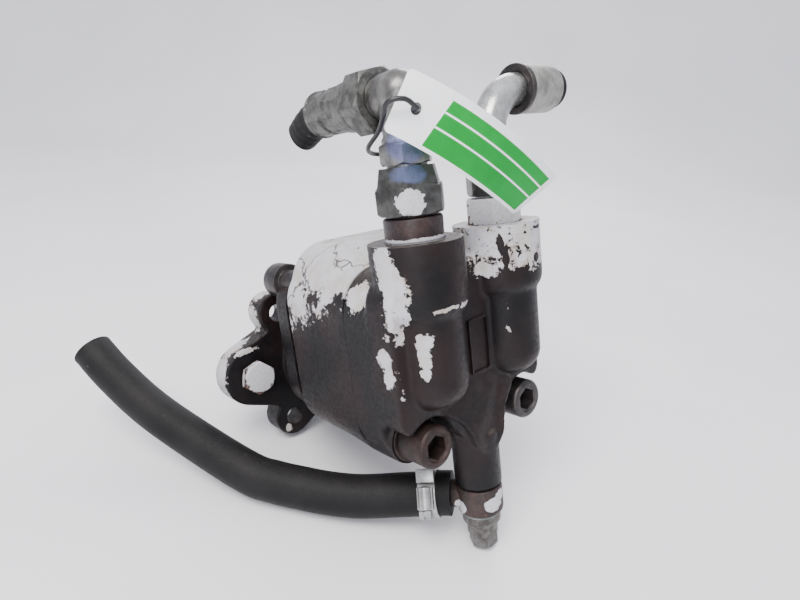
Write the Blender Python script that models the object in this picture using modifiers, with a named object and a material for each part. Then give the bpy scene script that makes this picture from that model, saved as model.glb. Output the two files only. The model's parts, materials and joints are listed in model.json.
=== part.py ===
"""Hydraulic gear unit with a ported end cover, a two/four-bolt mounting flange and a case-drain hose.

The unit is laid out in its own bench frame, in millimetres: X runs from port to port, Y along the
drive shaft from the end cover to the mounting flange, Z up through the ports.  One empty,
"resting_stand", then leans the whole unit back until it stands on the drain bolt and the two lower
flange feet, as it does when it is put down, and puts the middle of its footprint on the origin.
"""
import math

import bmesh
import bpy
from mathutils import Matrix, Vector

MM = 0.001
GAP = 0.3                    # clearance left between touching pieces
MERGE = 0.00005              # welding distance of turned shapes, in metres
FINE, MEDIUM, COARSE = 24, 18, 12   # sides of large, middling and small round pieces

# Gear set
SHAFT_Z = 110.0
GEAR_CENTRES = 48.0
IDLER_Z = SHAFT_Z + GEAR_CENTRES
TEETH = 12
MODULE = GEAR_CENTRES / TEETH
PRESSURE_ANGLE = math.radians(25.0)
TIP_R = MODULE * (TEETH / 2 + 0.90)
ROOT_R = MODULE * (TEETH / 2 - 1.15)
CHAMBER_R = TIP_R + 0.6
JOURNAL_R = 13.0
BUSH_R = 16.0
SHAFT_END_R = 12.7

# Castings, front (negative Y) to back
BODY_Z = 137.0
BODY_HALF_W, BODY_HALF_H, BODY_CORNER = 63.0, 62.5, 30.0
COVER_FRONT, COVER_BASE, COVER_BACK = -7.0, 15.0, 40.0
BODY_FRONT, BODY_BACK = COVER_BACK + GAP, 124.0
CROWN_Z, CROWN_HALF_W, CROWN_HALF_H, CROWN_CORNER = 165.0, 57.0, 47.0, 30.0
CROWN_FRONT, CROWN_TOP_FRONT, CROWN_TOP_BACK = 44.0, 62.0, 110.0
CROWN_FRONT_SHARE, CROWN_BACK_SHARE = 0.745, 0.85    # how far the crown has grown at its two ends
HUB_FRONT, HUB_BACK = BODY_BACK + GAP, 141.0
FLANGE_FRONT, FLANGE_BACK = 164.0, 184.0
PILOT_R, PILOT_BACK = 50.8, 193.5

# Ports
PORT_X = {"left": -33.0, "right": 36.5}
PORT_TOP = 216.0
PORT_BOSS_R, PORT_BORE_R = 27.5, 16.7
BOSS_STRAIGHT, BOSS_ROUND = 181.0, 15.0
GALLERY_R, GALLERY_FRONT, GALLERY_LOW, GALLERY_ROUND = 21.5, -2.5, 131.0, 16.0

APRON_FRONT, APRON_LOW, APRON_HIGH = -15.7, 75.0, 126.0

ELBOW_Z = 295.0                      # height of the left elbow's horizontal leg

# Through screws
SCREW_X = {"left": -42.0, "right": 44.5}
SCREW_LOW_Z, SCREW_HIGH_Z = 92.0, 2 * BODY_Z - 92.0
SCREW_R, SCREW_HEAD_R, SCREW_HEAD, BACK_SCREW_HEAD = 9.0, 13.5, 22.0, 18.0
WASHER_R, WASHER = 15.5, 3.0
LUG_R = 17.0

# Mounting flange bolt holes
EAR_X, EAR_R = 73.0, 24.0
FOOT_STEP, FOOT_R = 44.9, 16.0
FLANGE_HOLE_R = 7.2
FLANGE_DISC_R = 50.0

# Case drain
DRAIN_Y, DRAIN_BOSS_R, DRAIN_BOSS_LOW = 0.0, 15.5, 48.5
DRAIN_BOLT_R, DRAIN_HEX, DRAIN_HEAD = 6.5, 17.0, 9.0
DRAIN_COLLAR_R, DRAIN_COLLAR, DRAIN_LAND_R, DRAIN_LAND = 10.4, 18.5, 13.0, 24.6
BANJO_LOW, BANJO_HIGH, BANJO_R = 27.1, 46.1, 15.5
NIPPLE_R, NIPPLE_END, NIPPLE_Z = 9.0, 18.5, 36.6
NIPPLE_TURN = math.radians(128.0)    # plan direction of the nipple, from +X

# Resting pose: the unit leans back on the drain bolt's rear edge and the feet's rear edges
BOLT_EDGE_Y = DRAIN_Y + DRAIN_HEX / 2
FOOT_LOW_Z = SHAFT_Z - FOOT_STEP - FOOT_R
LEAN = math.atan2(FOOT_LOW_Z, FLANGE_BACK - BOLT_EDGE_Y)
STAND_X, STAND_Y = -3.5, -123.0

# Drain hose, in the standing frame, in millimetres: after the nipple it comes down to lie on the
# floor, then springs up to its cut end
HOSE_R = 15.0
HOSE_ROUTE = ((-37.5, -72.5, 24.5), (-57.5, -52.0, 18.6), (-72.5, -34.0, 16.2), (-86.5, -15.5, 15.6),
              (-98.0, 0.0, 15.9), (-108.5, 16.5, 17.4), (-127.0, 61.0, 25.5), (-146.0, 105.0, 38.5),
              (-159.5, 142.0, 54.5), (-167.5, 167.0, 68.5))
CLAMP_WIDTH, CLAMP_SCREW_OUT = 12.0, 20.5
CLAMP_SPAN = 2                       # the straight span of the hose that the clamp sits on
CLAMP_ROLL = math.radians(38.0)

# Stock tag, in the bench frame: its width turns and its middle bows out between its two ends
TAG_LEFT, TAG_RIGHT = Vector((-54.0, -21.5, 289.5)), Vector((39.0, -31.0, 231.0))
TAG_UP_LEFT, TAG_UP_RIGHT = Vector((0.45, -0.15, 0.88)), Vector((0.56, -0.61, 0.55))
TAG_BOW = Vector((-8.5, -10.7, 3.2))
TAG_HALF_WIDTH, TAG_THICK, TAG_HOLE, TAG_STEPS = 16.5, 0.6, 13.0, 10
TIE_ROUTE = ((-20.0, -14.0, 279.0), (-14.5, -2.0, 273.0), (-17.0, 12.0, 267.5), (-28.0, 18.8, 265.5),
             (-41.0, 18.3, 266.0), (-51.5, 9.0, 269.0), (-55.0, -6.0, 276.0), (-60.0, -18.0, 283.0),
             (-61.5, -24.0, 288.0), (-55.0, -29.0, 288.5))


def clear_scene():
    for old in list(bpy.data.objects):
        bpy.data.objects.remove(old, do_unlink=True)


clear_scene()
PARTS = bpy.data.collections.new("hydraulic_gear_unit")
CUTTERS = bpy.data.collections.new("cutters")
bpy.context.scene.collection.children.link(PARTS)
bpy.context.scene.collection.children.link(CUTTERS)

STAND = bpy.data.objects.new("resting_stand", None)
PARTS.objects.link(STAND)


def lean_matrix():
    """Bench frame to standing frame: lean back, lift onto the floor, move to the footprint's middle."""
    turn = Matrix.Rotation(-LEAN, 4, 'X')
    lowest = (turn @ Vector((0, BOLT_EDGE_Y * MM, 0))).z
    return Matrix.Translation((STAND_X * MM, STAND_Y * MM, -lowest)) @ turn


STAND.matrix_world = lean_matrix()


def material(name, colour, metallic, roughness):
    made = bpy.data.materials.new(name)
    made.use_nodes = True
    shader = made.node_tree.nodes["Principled BSDF"]
    shader.inputs["Base Color"].default_value = (*colour, 1.0)
    shader.inputs["Metallic"].default_value = metallic
    shader.inputs["Roughness"].default_value = roughness
    made.diffuse_color = (*colour, 1.0)
    return made


DARK_IRON = ("dark_iron", (0.060, 0.050, 0.050), 0.5, 0.5)
PALE_PAINT = ("pale_paint", (0.62, 0.61, 0.60), 0.0, 0.55)
BROWN_STEEL = ("brown_steel", (0.14, 0.10, 0.085), 0.7, 0.45)
BLACK_STEEL = ("black_steel", (0.05, 0.05, 0.055), 0.8, 0.4)
ZINC = ("zinc", (0.45, 0.45, 0.43), 1.0, 0.35)
GROUND_STEEL = ("ground_steel", (0.56, 0.56, 0.57), 1.0, 0.25)
BRONZE = ("bronze", (0.50, 0.33, 0.16), 1.0, 0.35)
ALUMINIUM = ("aluminium", (0.62, 0.62, 0.63), 1.0, 0.4)
RUBBER = ("rubber", (0.03, 0.03, 0.032), 0.0, 0.7)
CARD = ("card", (0.85, 0.86, 0.85), 0.0, 0.6)


def place(name, mesh, look, at=(0, 0, 0), stand=True):
    """A named part from its mesh, with its own material, its origin at a bench-frame point."""
    obj = bpy.data.objects.new(name, mesh)
    PARTS.objects.link(obj)
    if look:
        mesh.materials.append(material(name + "_" + look[0], *look[1:]))
    if stand:
        obj.parent = STAND
    obj.location = Vector(at) * MM
    return obj


def tool(name, mesh, owner):
    """A hidden helper solid that a Boolean on the owner uses, in the owner's own frame."""
    obj = bpy.data.objects.new(owner.name + "_" + name, mesh)
    CUTTERS.objects.link(obj)
    obj.parent = owner
    obj.hide_render = True
    obj.display_type = 'WIRE'
    return obj


def combine(owner, mesh, operation, name):
    modifier = owner.modifiers.new(name, 'BOOLEAN')
    modifier.operation = operation
    modifier.solver = 'EXACT'
    modifier.object = tool(name, mesh, owner)


def join(owner, **meshes):
    for name, mesh in meshes.items():
        combine(owner, mesh, 'UNION', name)


def cut(owner, **meshes):
    for name, mesh in meshes.items():
        combine(owner, mesh, 'DIFFERENCE', name)


def finish_mesh(bm, name, smooth=True):
    bmesh.ops.recalc_face_normals(bm, faces=bm.faces)
    mesh = bpy.data.meshes.new(name)
    bm.to_mesh(mesh)
    bm.free()
    if smooth:
        mesh.shade_smooth()
        mesh.set_sharp_from_angle(angle=math.radians(32))
    return mesh


AXIS_TURN = {
    'Z': Matrix.Identity(4),
    'Y': Matrix.Rotation(-math.pi / 2, 4, 'X'),
    'X': Matrix.Rotation(math.pi / 2, 4, 'Y'),
}


def cylinder(radius, start, end, centre=(0, 0), axis='Z', sides=MEDIUM, end_radius=None, turn=0.0):
    """A cylinder or cone along an axis, from start to end; centre holds the two other coordinates."""
    bm = bmesh.new()
    bmesh.ops.create_cone(
        bm, cap_ends=True, segments=sides, radius1=radius * MM,
        radius2=(radius if end_radius is None else end_radius) * MM, depth=(end - start) * MM)
    bmesh.ops.rotate(bm, verts=bm.verts, matrix=Matrix.Rotation(turn, 3, 'Z'))
    bmesh.ops.transform(bm, verts=bm.verts, matrix=AXIS_TURN[axis])
    middle = (start + end) / 2
    at = {'Z': (centre[0], centre[1], middle),
          'Y': (centre[0], middle, centre[1]),
          'X': (middle, centre[0], centre[1])}[axis]
    bmesh.ops.translate(bm, verts=bm.verts, vec=Vector(at) * MM)
    return finish_mesh(bm, "cylinder")


def hexagon(flats, start, end, centre=(0, 0), axis='Z', turn=0.0, end_flats=None):
    """A hexagonal prism or taper, sized across its flats."""
    corner = flats / 2 / math.cos(math.pi / 6)
    end_corner = None if end_flats is None else end_flats / 2 / math.cos(math.pi / 6)
    return cylinder(corner, start, end, centre, axis, 6, end_corner, turn)


def ellipsoid(radii, at, segments=FINE, rings=8):
    bm = bmesh.new()
    bmesh.ops.create_uvsphere(bm, u_segments=segments, v_segments=rings, radius=1.0)
    bmesh.ops.scale(bm, verts=bm.verts, vec=Vector(radii) * MM)
    bmesh.ops.translate(bm, verts=bm.verts, vec=Vector(at) * MM)
    return finish_mesh(bm, "ellipsoid")


def box(low, high):
    bm = bmesh.new()
    bmesh.ops.create_cube(bm, size=1.0)
    size = [h - l for l, h in zip(low, high)]
    middle = [(h + l) / 2 for l, h in zip(low, high)]
    bmesh.ops.scale(bm, verts=bm.verts, vec=Vector(size) * MM)
    bmesh.ops.translate(bm, verts=bm.verts, vec=Vector(middle) * MM)
    return finish_mesh(bm, "box")


def arc(centre, radius, start, end, count):
    """Points on an arc, angles in degrees."""
    points = []
    for i in range(count + 1):
        angle = math.radians(start + (end - start) * i / count)
        points.append((centre[0] + radius * math.cos(angle), centre[1] + radius * math.sin(angle)))
    return points


def rounded_rectangle(centre, half_w, half_h, corner, count=6):
    points = []
    for sx, sz, start in ((1, 1, 0), (-1, 1, 90), (-1, -1, 180), (1, -1, 270)):
        middle = (centre[0] + sx * (half_w - corner), centre[1] + sz * (half_h - corner))
        points += arc(middle, corner, start, start + 90, count)
    return points


def plate(outline, start, end, back_scale=1.0, about=(0, 0)):
    """An (x, z) outline extruded along Y; the back outline may be scaled about a point."""
    bm = bmesh.new()
    front = [bm.verts.new((x * MM, start * MM, z * MM)) for x, z in outline]
    face = bm.faces.new(front)
    grown = bmesh.ops.extrude_face_region(bm, geom=[face])
    back = [v for v in grown["geom"] if isinstance(v, bmesh.types.BMVert)]
    for vert in back:
        vert.co.y = end * MM
        vert.co.x = (about[0] + (vert.co.x / MM - about[0]) * back_scale) * MM
        vert.co.z = (about[1] + (vert.co.z / MM - about[1]) * back_scale) * MM
    return finish_mesh(bm, "plate")


def turned(name, profile, look, at, axis='Z', sides=FINE):
    """A turned part: (radius, height) points down its outer side, revolved by a Screw modifier."""
    mesh = bpy.data.meshes.new(name)
    bm = bmesh.new()
    verts = [bm.verts.new((r * MM, 0, h * MM)) for r, h in profile]
    closed = profile[0][0] > 0 and profile[-1][0] > 0
    for a, b in zip(verts, verts[1:] + (verts[:1] if closed else [])):
        bm.edges.new((a, b))
    bm.to_mesh(mesh)
    bm.free()
    obj = place(name, mesh, look, at)
    obj.rotation_euler = AXIS_TURN[axis].to_euler()
    screw = obj.modifiers.new("revolve", 'SCREW')
    screw.steps = sides
    screw.render_steps = sides
    screw.use_merge_vertices = True
    screw.merge_threshold = MERGE
    return obj


def tube_profile(outer, inner, low, high, edge=0.0):
    """The closed section of a ring, its outer edges broken by a small chamfer."""
    if edge:
        return [(inner, high), (outer - edge, high), (outer, high - edge),
                (outer, low + edge), (outer - edge, low), (inner, low)]
    return [(inner, high), (outer, high), (outer, low), (inner, low)]


def smooth_route(points, step):
    """Points about one step apart on a Catmull-Rom curve through the given points."""
    ends = [points[0] * 2 - points[1]] + points + [points[-1] * 2 - points[-2]]
    route = []
    for p0, p1, p2, p3 in zip(ends, ends[1:], ends[2:], ends[3:]):
        count = max(2, round((p2 - p1).length / step))
        for i in range(count):
            t = i / count
            route.append(0.5 * (2 * p1 + (p2 - p0) * t + (2 * p0 - 5 * p1 + 4 * p2 - p3) * t ** 2
                                + (3 * p1 - p0 - 3 * p2 + p3) * t ** 3))
    return route + [points[-1]]


def swept(name, points, radius, look, resolution=3, stand=True, loop=False):
    """A round bar along a route, as a mesh with welded caps; a loop has no ends."""
    curve = bpy.data.curves.new(name, 'CURVE')
    curve.dimensions = '3D'
    curve.bevel_depth = radius * MM
    curve.bevel_resolution = resolution
    curve.use_fill_caps = True
    spline = curve.splines.new('POLY')
    spline.points.add(len(points) - 1)
    spline.use_cyclic_u = loop
    for slot, point in zip(spline.points, points):
        slot.co = (*(Vector(point) * MM), 1.0)
    guide = bpy.data.objects.new(name + "_guide", curve)
    CUTTERS.objects.link(guide)
    bpy.context.view_layer.update()
    mesh = bpy.data.meshes.new_from_object(guide.evaluated_get(bpy.context.evaluated_depsgraph_get()))
    bpy.data.objects.remove(guide, do_unlink=True)
    bm = bmesh.new()
    bm.from_mesh(mesh)
    bmesh.ops.remove_doubles(bm, verts=bm.verts, dist=MERGE)
    bmesh.ops.recalc_face_normals(bm, faces=bm.faces)
    bm.to_mesh(mesh)
    bm.free()
    mesh.shade_smooth()
    mesh.set_sharp_from_angle(angle=math.radians(50))
    return place(name, mesh, look, stand=stand)


# ---------------------------------------------------------------- castings


def cover_outline():
    """The end cover's front face: square shoulders, and a lobe down to the drain between two scallops."""
    low, side = 104.0, BODY_HALF_W + 0.5
    head = WASHER_R + 2.5
    lobe_r, lobe_z = 19.0, 97.0
    halves = []
    for screw_x in (SCREW_X["right"], -SCREW_X["left"]):
        half = arc((0, lobe_z), lobe_r, -90, -28, 6)
        half += arc((screw_x, SCREW_LOW_Z), head, 150, 62, 5)
        half += arc((side - 9, low + 9), 9, -70, 0, 3)
        halves.append(half + arc((side - 20, BODY_Z + BODY_HALF_H - 20), 20, 0, 90, 5))
    return halves[0] + [(-x, z) for x, z in reversed(halves[1]) if x > 1e-6]


def apron():
    """A fan that thickens the face down to the drain boss; its front slopes back into the face."""
    outline = arc((0, APRON_LOW + 13), 13, -180, 0, 8) + [(19, 98), (30, 108), (31, 118), (24, APRON_HIGH)]
    outline += [(-x, z) for x, z in reversed(outline[-4:])]
    fan = plate(outline, APRON_FRONT, COVER_FRONT + 3)
    slope = (COVER_FRONT + 1 - APRON_FRONT) / (APRON_HIGH - APRON_LOW - 13)
    for vert in fan.vertices:
        if vert.co.y < COVER_FRONT * MM:
            vert.co.y += max(0.0, vert.co.z - (APRON_LOW + 13) * MM) * slope
    return fan


def end_cover():
    cover = place("end_cover", plate(
        rounded_rectangle((0, BODY_Z), BODY_HALF_W, BODY_HALF_H, BODY_CORNER), COVER_BASE, COVER_BACK),
        DARK_IRON)
    join(cover, face=plate(cover_outline(), COVER_FRONT, COVER_BASE + 1))
    for side in PORT_X:
        px, sx = PORT_X[side], SCREW_X[side]
        join(cover, **{
            "lug_" + side: cylinder(LUG_R, COVER_BASE, COVER_BACK, (sx, SCREW_LOW_Z), 'Y'),
            "gallery_" + side: cylinder(GALLERY_R, GALLERY_LOW, BOSS_STRAIGHT + 2, (px, GALLERY_FRONT),
                                        'Z', FINE),
            "gallery_end_" + side: ellipsoid((GALLERY_R, GALLERY_R, GALLERY_ROUND),
                                             (px, GALLERY_FRONT, GALLERY_LOW + 0.01)),
            "boss_" + side: cylinder(PORT_BOSS_R, BOSS_STRAIGHT, PORT_TOP, (px, 0), 'Z', FINE),
            "boss_end_" + side: ellipsoid((PORT_BOSS_R - 0.02, PORT_BOSS_R - 0.02, BOSS_ROUND),
                                          (px, 0, BOSS_STRAIGHT + 0.01)),
        })
    join(cover,
         drain_boss=cylinder(DRAIN_BOSS_R, DRAIN_BOSS_LOW, APRON_LOW + 13, (0, DRAIN_Y), 'Z', FINE),
         apron=apron(),
         casting_pad=plate(rounded_rectangle((3.0, 147.0), 9.0, 22.0, 1.5, 2),
                           COVER_FRONT - 1.2, COVER_FRONT + 1))
    for side, x in (("left", -1), ("right", 1)):
        px, sx = PORT_X[side], SCREW_X[side]
        cut(cover, **{
            "port_" + side: cylinder(PORT_BORE_R, 190, PORT_TOP + 1, (px, 0), 'Z'),
            "passage_" + side: cylinder(11.0, BODY_Z - 8, 191, (px, 0), 'Z', COARSE),
            "window_" + side: cylinder(11.0, 0, COVER_BACK + 1, (x * 26.0, BODY_Z), 'Y', COARSE),
            "low_screw_" + side: cylinder(SCREW_R + GAP, COVER_FRONT - 1, COVER_BACK + 1,
                                          (sx, SCREW_LOW_Z), 'Y', COARSE),
            "spot_face_" + side: cylinder(WASHER_R + 1, -30, COVER_BASE + 1, (sx, SCREW_LOW_Z), 'Y'),
            "high_screw_" + side: cylinder(SCREW_R + GAP, 22, COVER_BACK + 1,
                                           (sx, SCREW_HIGH_Z), 'Y', COARSE),
        })
    cut(cover,
        drain_bore=cylinder(DRAIN_BOLT_R + GAP, DRAIN_BOSS_LOW - 1, 74, (0, DRAIN_Y), 'Z', COARSE),
        drain_way=cylinder(4.0, 24, COVER_BACK + 1, (0, 80), 'Y', 12),
        drain_cross=cylinder(4.0, 60, 84, (0, 26), 'Z', 12))
    return cover


def crown_outline(share):
    """The hump over the idler gear, at a share of its full size."""
    return rounded_rectangle((0, CROWN_Z), CROWN_HALF_W * share, CROWN_HALF_H * share,
                             CROWN_CORNER * share)


def gear_housing():
    housing = place("gear_housing", plate(
        rounded_rectangle((0, BODY_Z), BODY_HALF_W, BODY_HALF_H, BODY_CORNER),
        BODY_FRONT, BODY_BACK - 9, 0.975, (0, BODY_Z)), DARK_IRON)
    rim = rounded_rectangle((0, BODY_Z), BODY_HALF_W * 0.975, BODY_HALF_H * 0.975, BODY_CORNER * 0.975)
    join(housing, shoulder=plate(rim, BODY_BACK - 9.01, BODY_BACK, 0.90, (0, BODY_Z)),
         crown=plate(crown_outline(1.0), CROWN_TOP_FRONT, CROWN_TOP_BACK),
         crown_front=plate(crown_outline(CROWN_FRONT_SHARE), CROWN_FRONT, CROWN_TOP_FRONT + 0.01,
                           1 / CROWN_FRONT_SHARE, (0, CROWN_Z)),
         crown_back=plate(crown_outline(1.0), CROWN_TOP_BACK - 0.01, BODY_BACK - 0.1,
                          CROWN_BACK_SHARE, (0, CROWN_Z)))
    for side in SCREW_X:
        join(housing, **{"lug_" + side: cylinder(LUG_R, BODY_FRONT, BODY_BACK - 12,
                                                 (SCREW_X[side], SCREW_LOW_Z), 'Y', MEDIUM, 11.0)})
    for name, z in (("drive", SHAFT_Z), ("idler", IDLER_Z)):
        cut(housing, **{name + "_chamber": cylinder(CHAMBER_R, BODY_FRONT - 1, BODY_BACK + 1, (0, z),
                                                    'Y', FINE)})
    cut(housing, ports=box((-44, 62, BODY_Z - 11), (44, 102, BODY_Z + 11)))
    for side in SCREW_X:
        for level, z in (("low", SCREW_LOW_Z), ("high", SCREW_HIGH_Z)):
            cut(housing, **{level + "_screw_" + side: cylinder(
                SCREW_R + GAP, BODY_FRONT - 1, BODY_BACK + 1, (SCREW_X[side], z), 'Y', COARSE)})
    return housing


def hull(circles, count=32):
    """The convex outline round a set of circles, each (x, z, radius)."""
    cloud = []
    for x, z, radius in circles:
        cloud += arc((x, z), radius, 0, 360 - 360 / count, count - 1)
    cloud = sorted(set(cloud))

    def chain(points):
        line = []
        for p in points:
            while len(line) > 1 and ((line[-1][0] - line[-2][0]) * (p[1] - line[-2][1])
                                     - (line[-1][1] - line[-2][1]) * (p[0] - line[-2][0])) <= 0:
                line.pop()
            line.append(p)
        return line[:-1]

    return chain(cloud) + chain(cloud[::-1])


def mounting_flange():
    centre = (0, SHAFT_Z)
    ears = hull([(-EAR_X, SHAFT_Z, EAR_R), (EAR_X, SHAFT_Z, EAR_R), (0, SHAFT_Z, FLANGE_DISC_R)])
    flange = place("mounting_flange", plate(ears, FLANGE_FRONT, FLANGE_BACK), DARK_IRON)
    for name, sx, sz in (("foot_left", -1, -1), ("foot_right", 1, -1),
                         ("horn_left", -1, 1), ("horn_right", 1, 1)):
        at = (sx * FOOT_STEP, SHAFT_Z + sz * FOOT_STEP)
        lobe = hull([(*at, FOOT_R), (sx * 12, SHAFT_Z + sz * 12, 28)])
        join(flange, **{name: plate(lobe, FLANGE_FRONT + 0.01, FLANGE_BACK - 0.01)})
    join(flange,
         pilot=cylinder(PILOT_R, FLANGE_BACK - 4, PILOT_BACK, centre, 'Y', FINE),
         neck=cylinder(46.0, HUB_BACK - 3, FLANGE_FRONT + 3, centre, 'Y', FINE),
         hub=plate(rounded_rectangle((0, BODY_Z - 2), 57.0, 56.0, 27.0), HUB_FRONT, HUB_BACK),
         spine=plate(rounded_rectangle((0, IDLER_Z), 26.0, 20.0, 12.0, 3), HUB_BACK - 3,
                     FLANGE_FRONT + 2))
    for side, x in (("left", -1), ("right", 1)):
        cut(flange, **{
            "ear_hole_" + side: cylinder(FLANGE_HOLE_R, FLANGE_FRONT - 4, FLANGE_BACK + 2,
                                         (x * EAR_X, SHAFT_Z), 'Y', COARSE),
            "foot_hole_" + side: cylinder(FLANGE_HOLE_R, HUB_BACK + 1, FLANGE_BACK + 2,
                                          (x * FOOT_STEP, SHAFT_Z - FOOT_STEP), 'Y', COARSE),
            "horn_hole_" + side: cylinder(FLANGE_HOLE_R, HUB_BACK + 1, FLANGE_BACK + 2,
                                          (x * FOOT_STEP, SHAFT_Z + FOOT_STEP), 'Y', COARSE),
            "low_screw_" + side: cylinder(SCREW_R + GAP, HUB_FRONT - 1, HUB_FRONT + 13,
                                          (SCREW_X[side], SCREW_LOW_Z), 'Y', COARSE),
            "high_screw_" + side: cylinder(SCREW_R + GAP, HUB_FRONT - 1, HUB_BACK + 1,
                                           (SCREW_X[side], SCREW_HIGH_Z), 'Y', COARSE),
        })
    cut(flange,
        shaft_way=cylinder(SHAFT_END_R + 1.5, HUB_FRONT - 1, PILOT_BACK + 1, centre, 'Y'),
        journal_pocket=cylinder(JOURNAL_R + 2, HUB_FRONT - 1, HUB_FRONT + 8, centre, 'Y'),
        seal_pocket=cylinder(22.0, PILOT_BACK - 15, PILOT_BACK + 1, centre, 'Y', FINE),
        idler_pocket=cylinder(JOURNAL_R + 2, HUB_FRONT - 1, HUB_FRONT + 4, (0, IDLER_Z), 'Y'))
    return flange


# ---------------------------------------------------------------- gear set


def involute(angle):
    return math.tan(angle) - angle


def gear_outline(turn, backlash=0.35):
    """Involute spur gear outline, (x, z) about its own axis, with a tooth centred at the given turn."""
    pitch_r = MODULE * TEETH / 2
    base_r = pitch_r * math.cos(PRESSURE_ANGLE)
    half = math.pi / 2 / TEETH - backlash / 2 / pitch_r
    flank = []
    for i in range(4):
        radius = max(base_r, ROOT_R) + (TIP_R - max(base_r, ROOT_R)) * i / 3
        lean = half + involute(PRESSURE_ANGLE) - involute(math.acos(min(1.0, base_r / radius)))
        flank.append((radius, lean))
    outline = []
    for tooth in range(TEETH):
        middle = turn + tooth * 2 * math.pi / TEETH
        foot = half + involute(PRESSURE_ANGLE)
        polar = [(ROOT_R, -foot - 0.02)] + [(r, -a) for r, a in flank]
        polar += [(r, a) for r, a in reversed(flank)] + [(ROOT_R, foot + 0.02)]
        outline += [(r * math.cos(middle + a), r * math.sin(middle + a)) for r, a in polar]
    return outline


GEAR_FRONT, GEAR_BACK = 61.5, 102.5
BLOCK_FRONT = (BODY_FRONT + GAP, GEAR_FRONT - GAP)
BLOCK_BACK = (GEAR_BACK + GAP, BODY_BACK - GAP)


def gears():
    """Both gears have their origins on their own axes; a tooth of one faces a gap of the other."""
    drive = place("drive_gear_shaft", plate(gear_outline(math.pi / 2), GEAR_FRONT, GEAR_BACK),
                  GROUND_STEEL, (0, 0, SHAFT_Z))
    join(drive,
         journals=cylinder(JOURNAL_R, BODY_FRONT + 1, HUB_FRONT + 4, (0, 0), 'Y'),
         output=cylinder(SHAFT_END_R, HUB_FRONT + 3, 228.0, (0, 0), 'Y'),
         output_end=cylinder(SHAFT_END_R, 227.99, 230.0, (0, 0), 'Y', MEDIUM, SHAFT_END_R - 2))
    cut(drive, keyway=box((-3.3, 198, SHAFT_END_R - 3.6), (3.3, 222, SHAFT_END_R + 2)))
    idler = place("driven_gear", plate(gear_outline(-math.pi / 2 + math.pi / TEETH), GEAR_FRONT,
                                       GEAR_BACK), GROUND_STEEL, (0, 0, IDLER_Z))
    join(idler, journals=cylinder(JOURNAL_R, BODY_FRONT + 1, BODY_BACK - 1, (0, 0), 'Y'))
    key = place("shaft_key", box((-3.0, 198.3, SHAFT_END_R - 3.3), (3.0, 221.7, SHAFT_END_R + 2.5)),
                BLACK_STEEL, (0, 0, SHAFT_Z))
    return drive, idler, key


def bearing_blocks():
    for name, (start, end) in (("bearing_block_cover_side", BLOCK_FRONT),
                               ("bearing_block_flange_side", BLOCK_BACK)):
        outer = CHAMBER_R - GAP
        block = place(name, cylinder(outer, start, end, (0, SHAFT_Z), 'Y', FINE), ALUMINIUM)
        join(block, idler_lobe=cylinder(outer, start, end, (0, IDLER_Z), 'Y', FINE))
        for which, z in (("drive", SHAFT_Z), ("idler", IDLER_Z)):
            cut(block, **{which + "_bore": cylinder(BUSH_R + GAP, start - 1, end + 1, (0, z), 'Y')})
            turned("bush_" + which + name.replace("bearing_block", ""),
                   tube_profile(BUSH_R, JOURNAL_R + 0.4, start + 0.5, end - 0.5), BRONZE, (0, 0, z), 'Y',
                   MEDIUM)


def seals():
    turned("shaft_seal", [(SHAFT_END_R + 0.4, PILOT_BACK - 6), (21.7, PILOT_BACK - 6),
                          (21.7, PILOT_BACK - 14.5), (19.0, PILOT_BACK - 14.5), (19.0, PILOT_BACK - 8),
                          (SHAFT_END_R + 0.4, PILOT_BACK - 11)],
           RUBBER, (0, 0, SHAFT_Z), 'Y', MEDIUM)
    turned("seal_retaining_ring", tube_profile(21.7, 18.0, PILOT_BACK - 5.6, PILOT_BACK - 4.0),
           BLACK_STEEL, (0, 0, SHAFT_Z), 'Y', MEDIUM)


# ---------------------------------------------------------------- screws and bolts


def socket_screw(name, x, z, head_at, head, tip_at, look):
    """A socket head cap screw along Y; the head is on the side away from the tip."""
    way = 1 if tip_at > head_at else -1
    under = head_at + way * head
    screw = place(name, cylinder(SCREW_HEAD_R, *sorted((head_at, under)), (0, 0), 'Y', FINE), look,
                  (x, 0, z))
    join(screw, shank=cylinder(SCREW_R, *sorted((under - way, tip_at)), (0, 0), 'Y', COARSE))
    cut(screw, socket=hexagon(14.0, *sorted((head_at - way, head_at + way * 12)), (0, 0), 'Y'))
    return screw


def screws():
    head_low = COVER_BASE - WASHER - 2 * GAP - SCREW_HEAD
    head_high = HUB_BACK + GAP + BACK_SCREW_HEAD
    for side, x in SCREW_X.items():
        socket_screw("cover_screw_" + side, x, SCREW_LOW_Z, head_low, SCREW_HEAD, HUB_FRONT + 11,
                     BROWN_STEEL)
        turned("cover_screw_washer_" + side,
               tube_profile(WASHER_R, SCREW_R + GAP, COVER_BASE - GAP - WASHER, COVER_BASE - GAP, 0.6),
               BROWN_STEEL, (x, 0, SCREW_LOW_Z), 'Y', MEDIUM)
        socket_screw("flange_side_screw_" + side, x, SCREW_HIGH_Z, head_high, BACK_SCREW_HEAD, 24,
                     BLACK_STEEL)


def flange_bolt():
    bolt = place("flange_bolt_left", hexagon(23.0, FLANGE_FRONT - GAP - 9.5, FLANGE_FRONT - GAP,
                                             (0, 0), 'Y', math.radians(12)), PALE_PAINT,
                 (-EAR_X, 0, SHAFT_Z))
    join(bolt, shank=cylinder(FLANGE_HOLE_R - GAP, FLANGE_FRONT - 1, FLANGE_BACK + 14, (0, 0), 'Y',
                              COARSE))
    return bolt


# ---------------------------------------------------------------- port fittings


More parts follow.
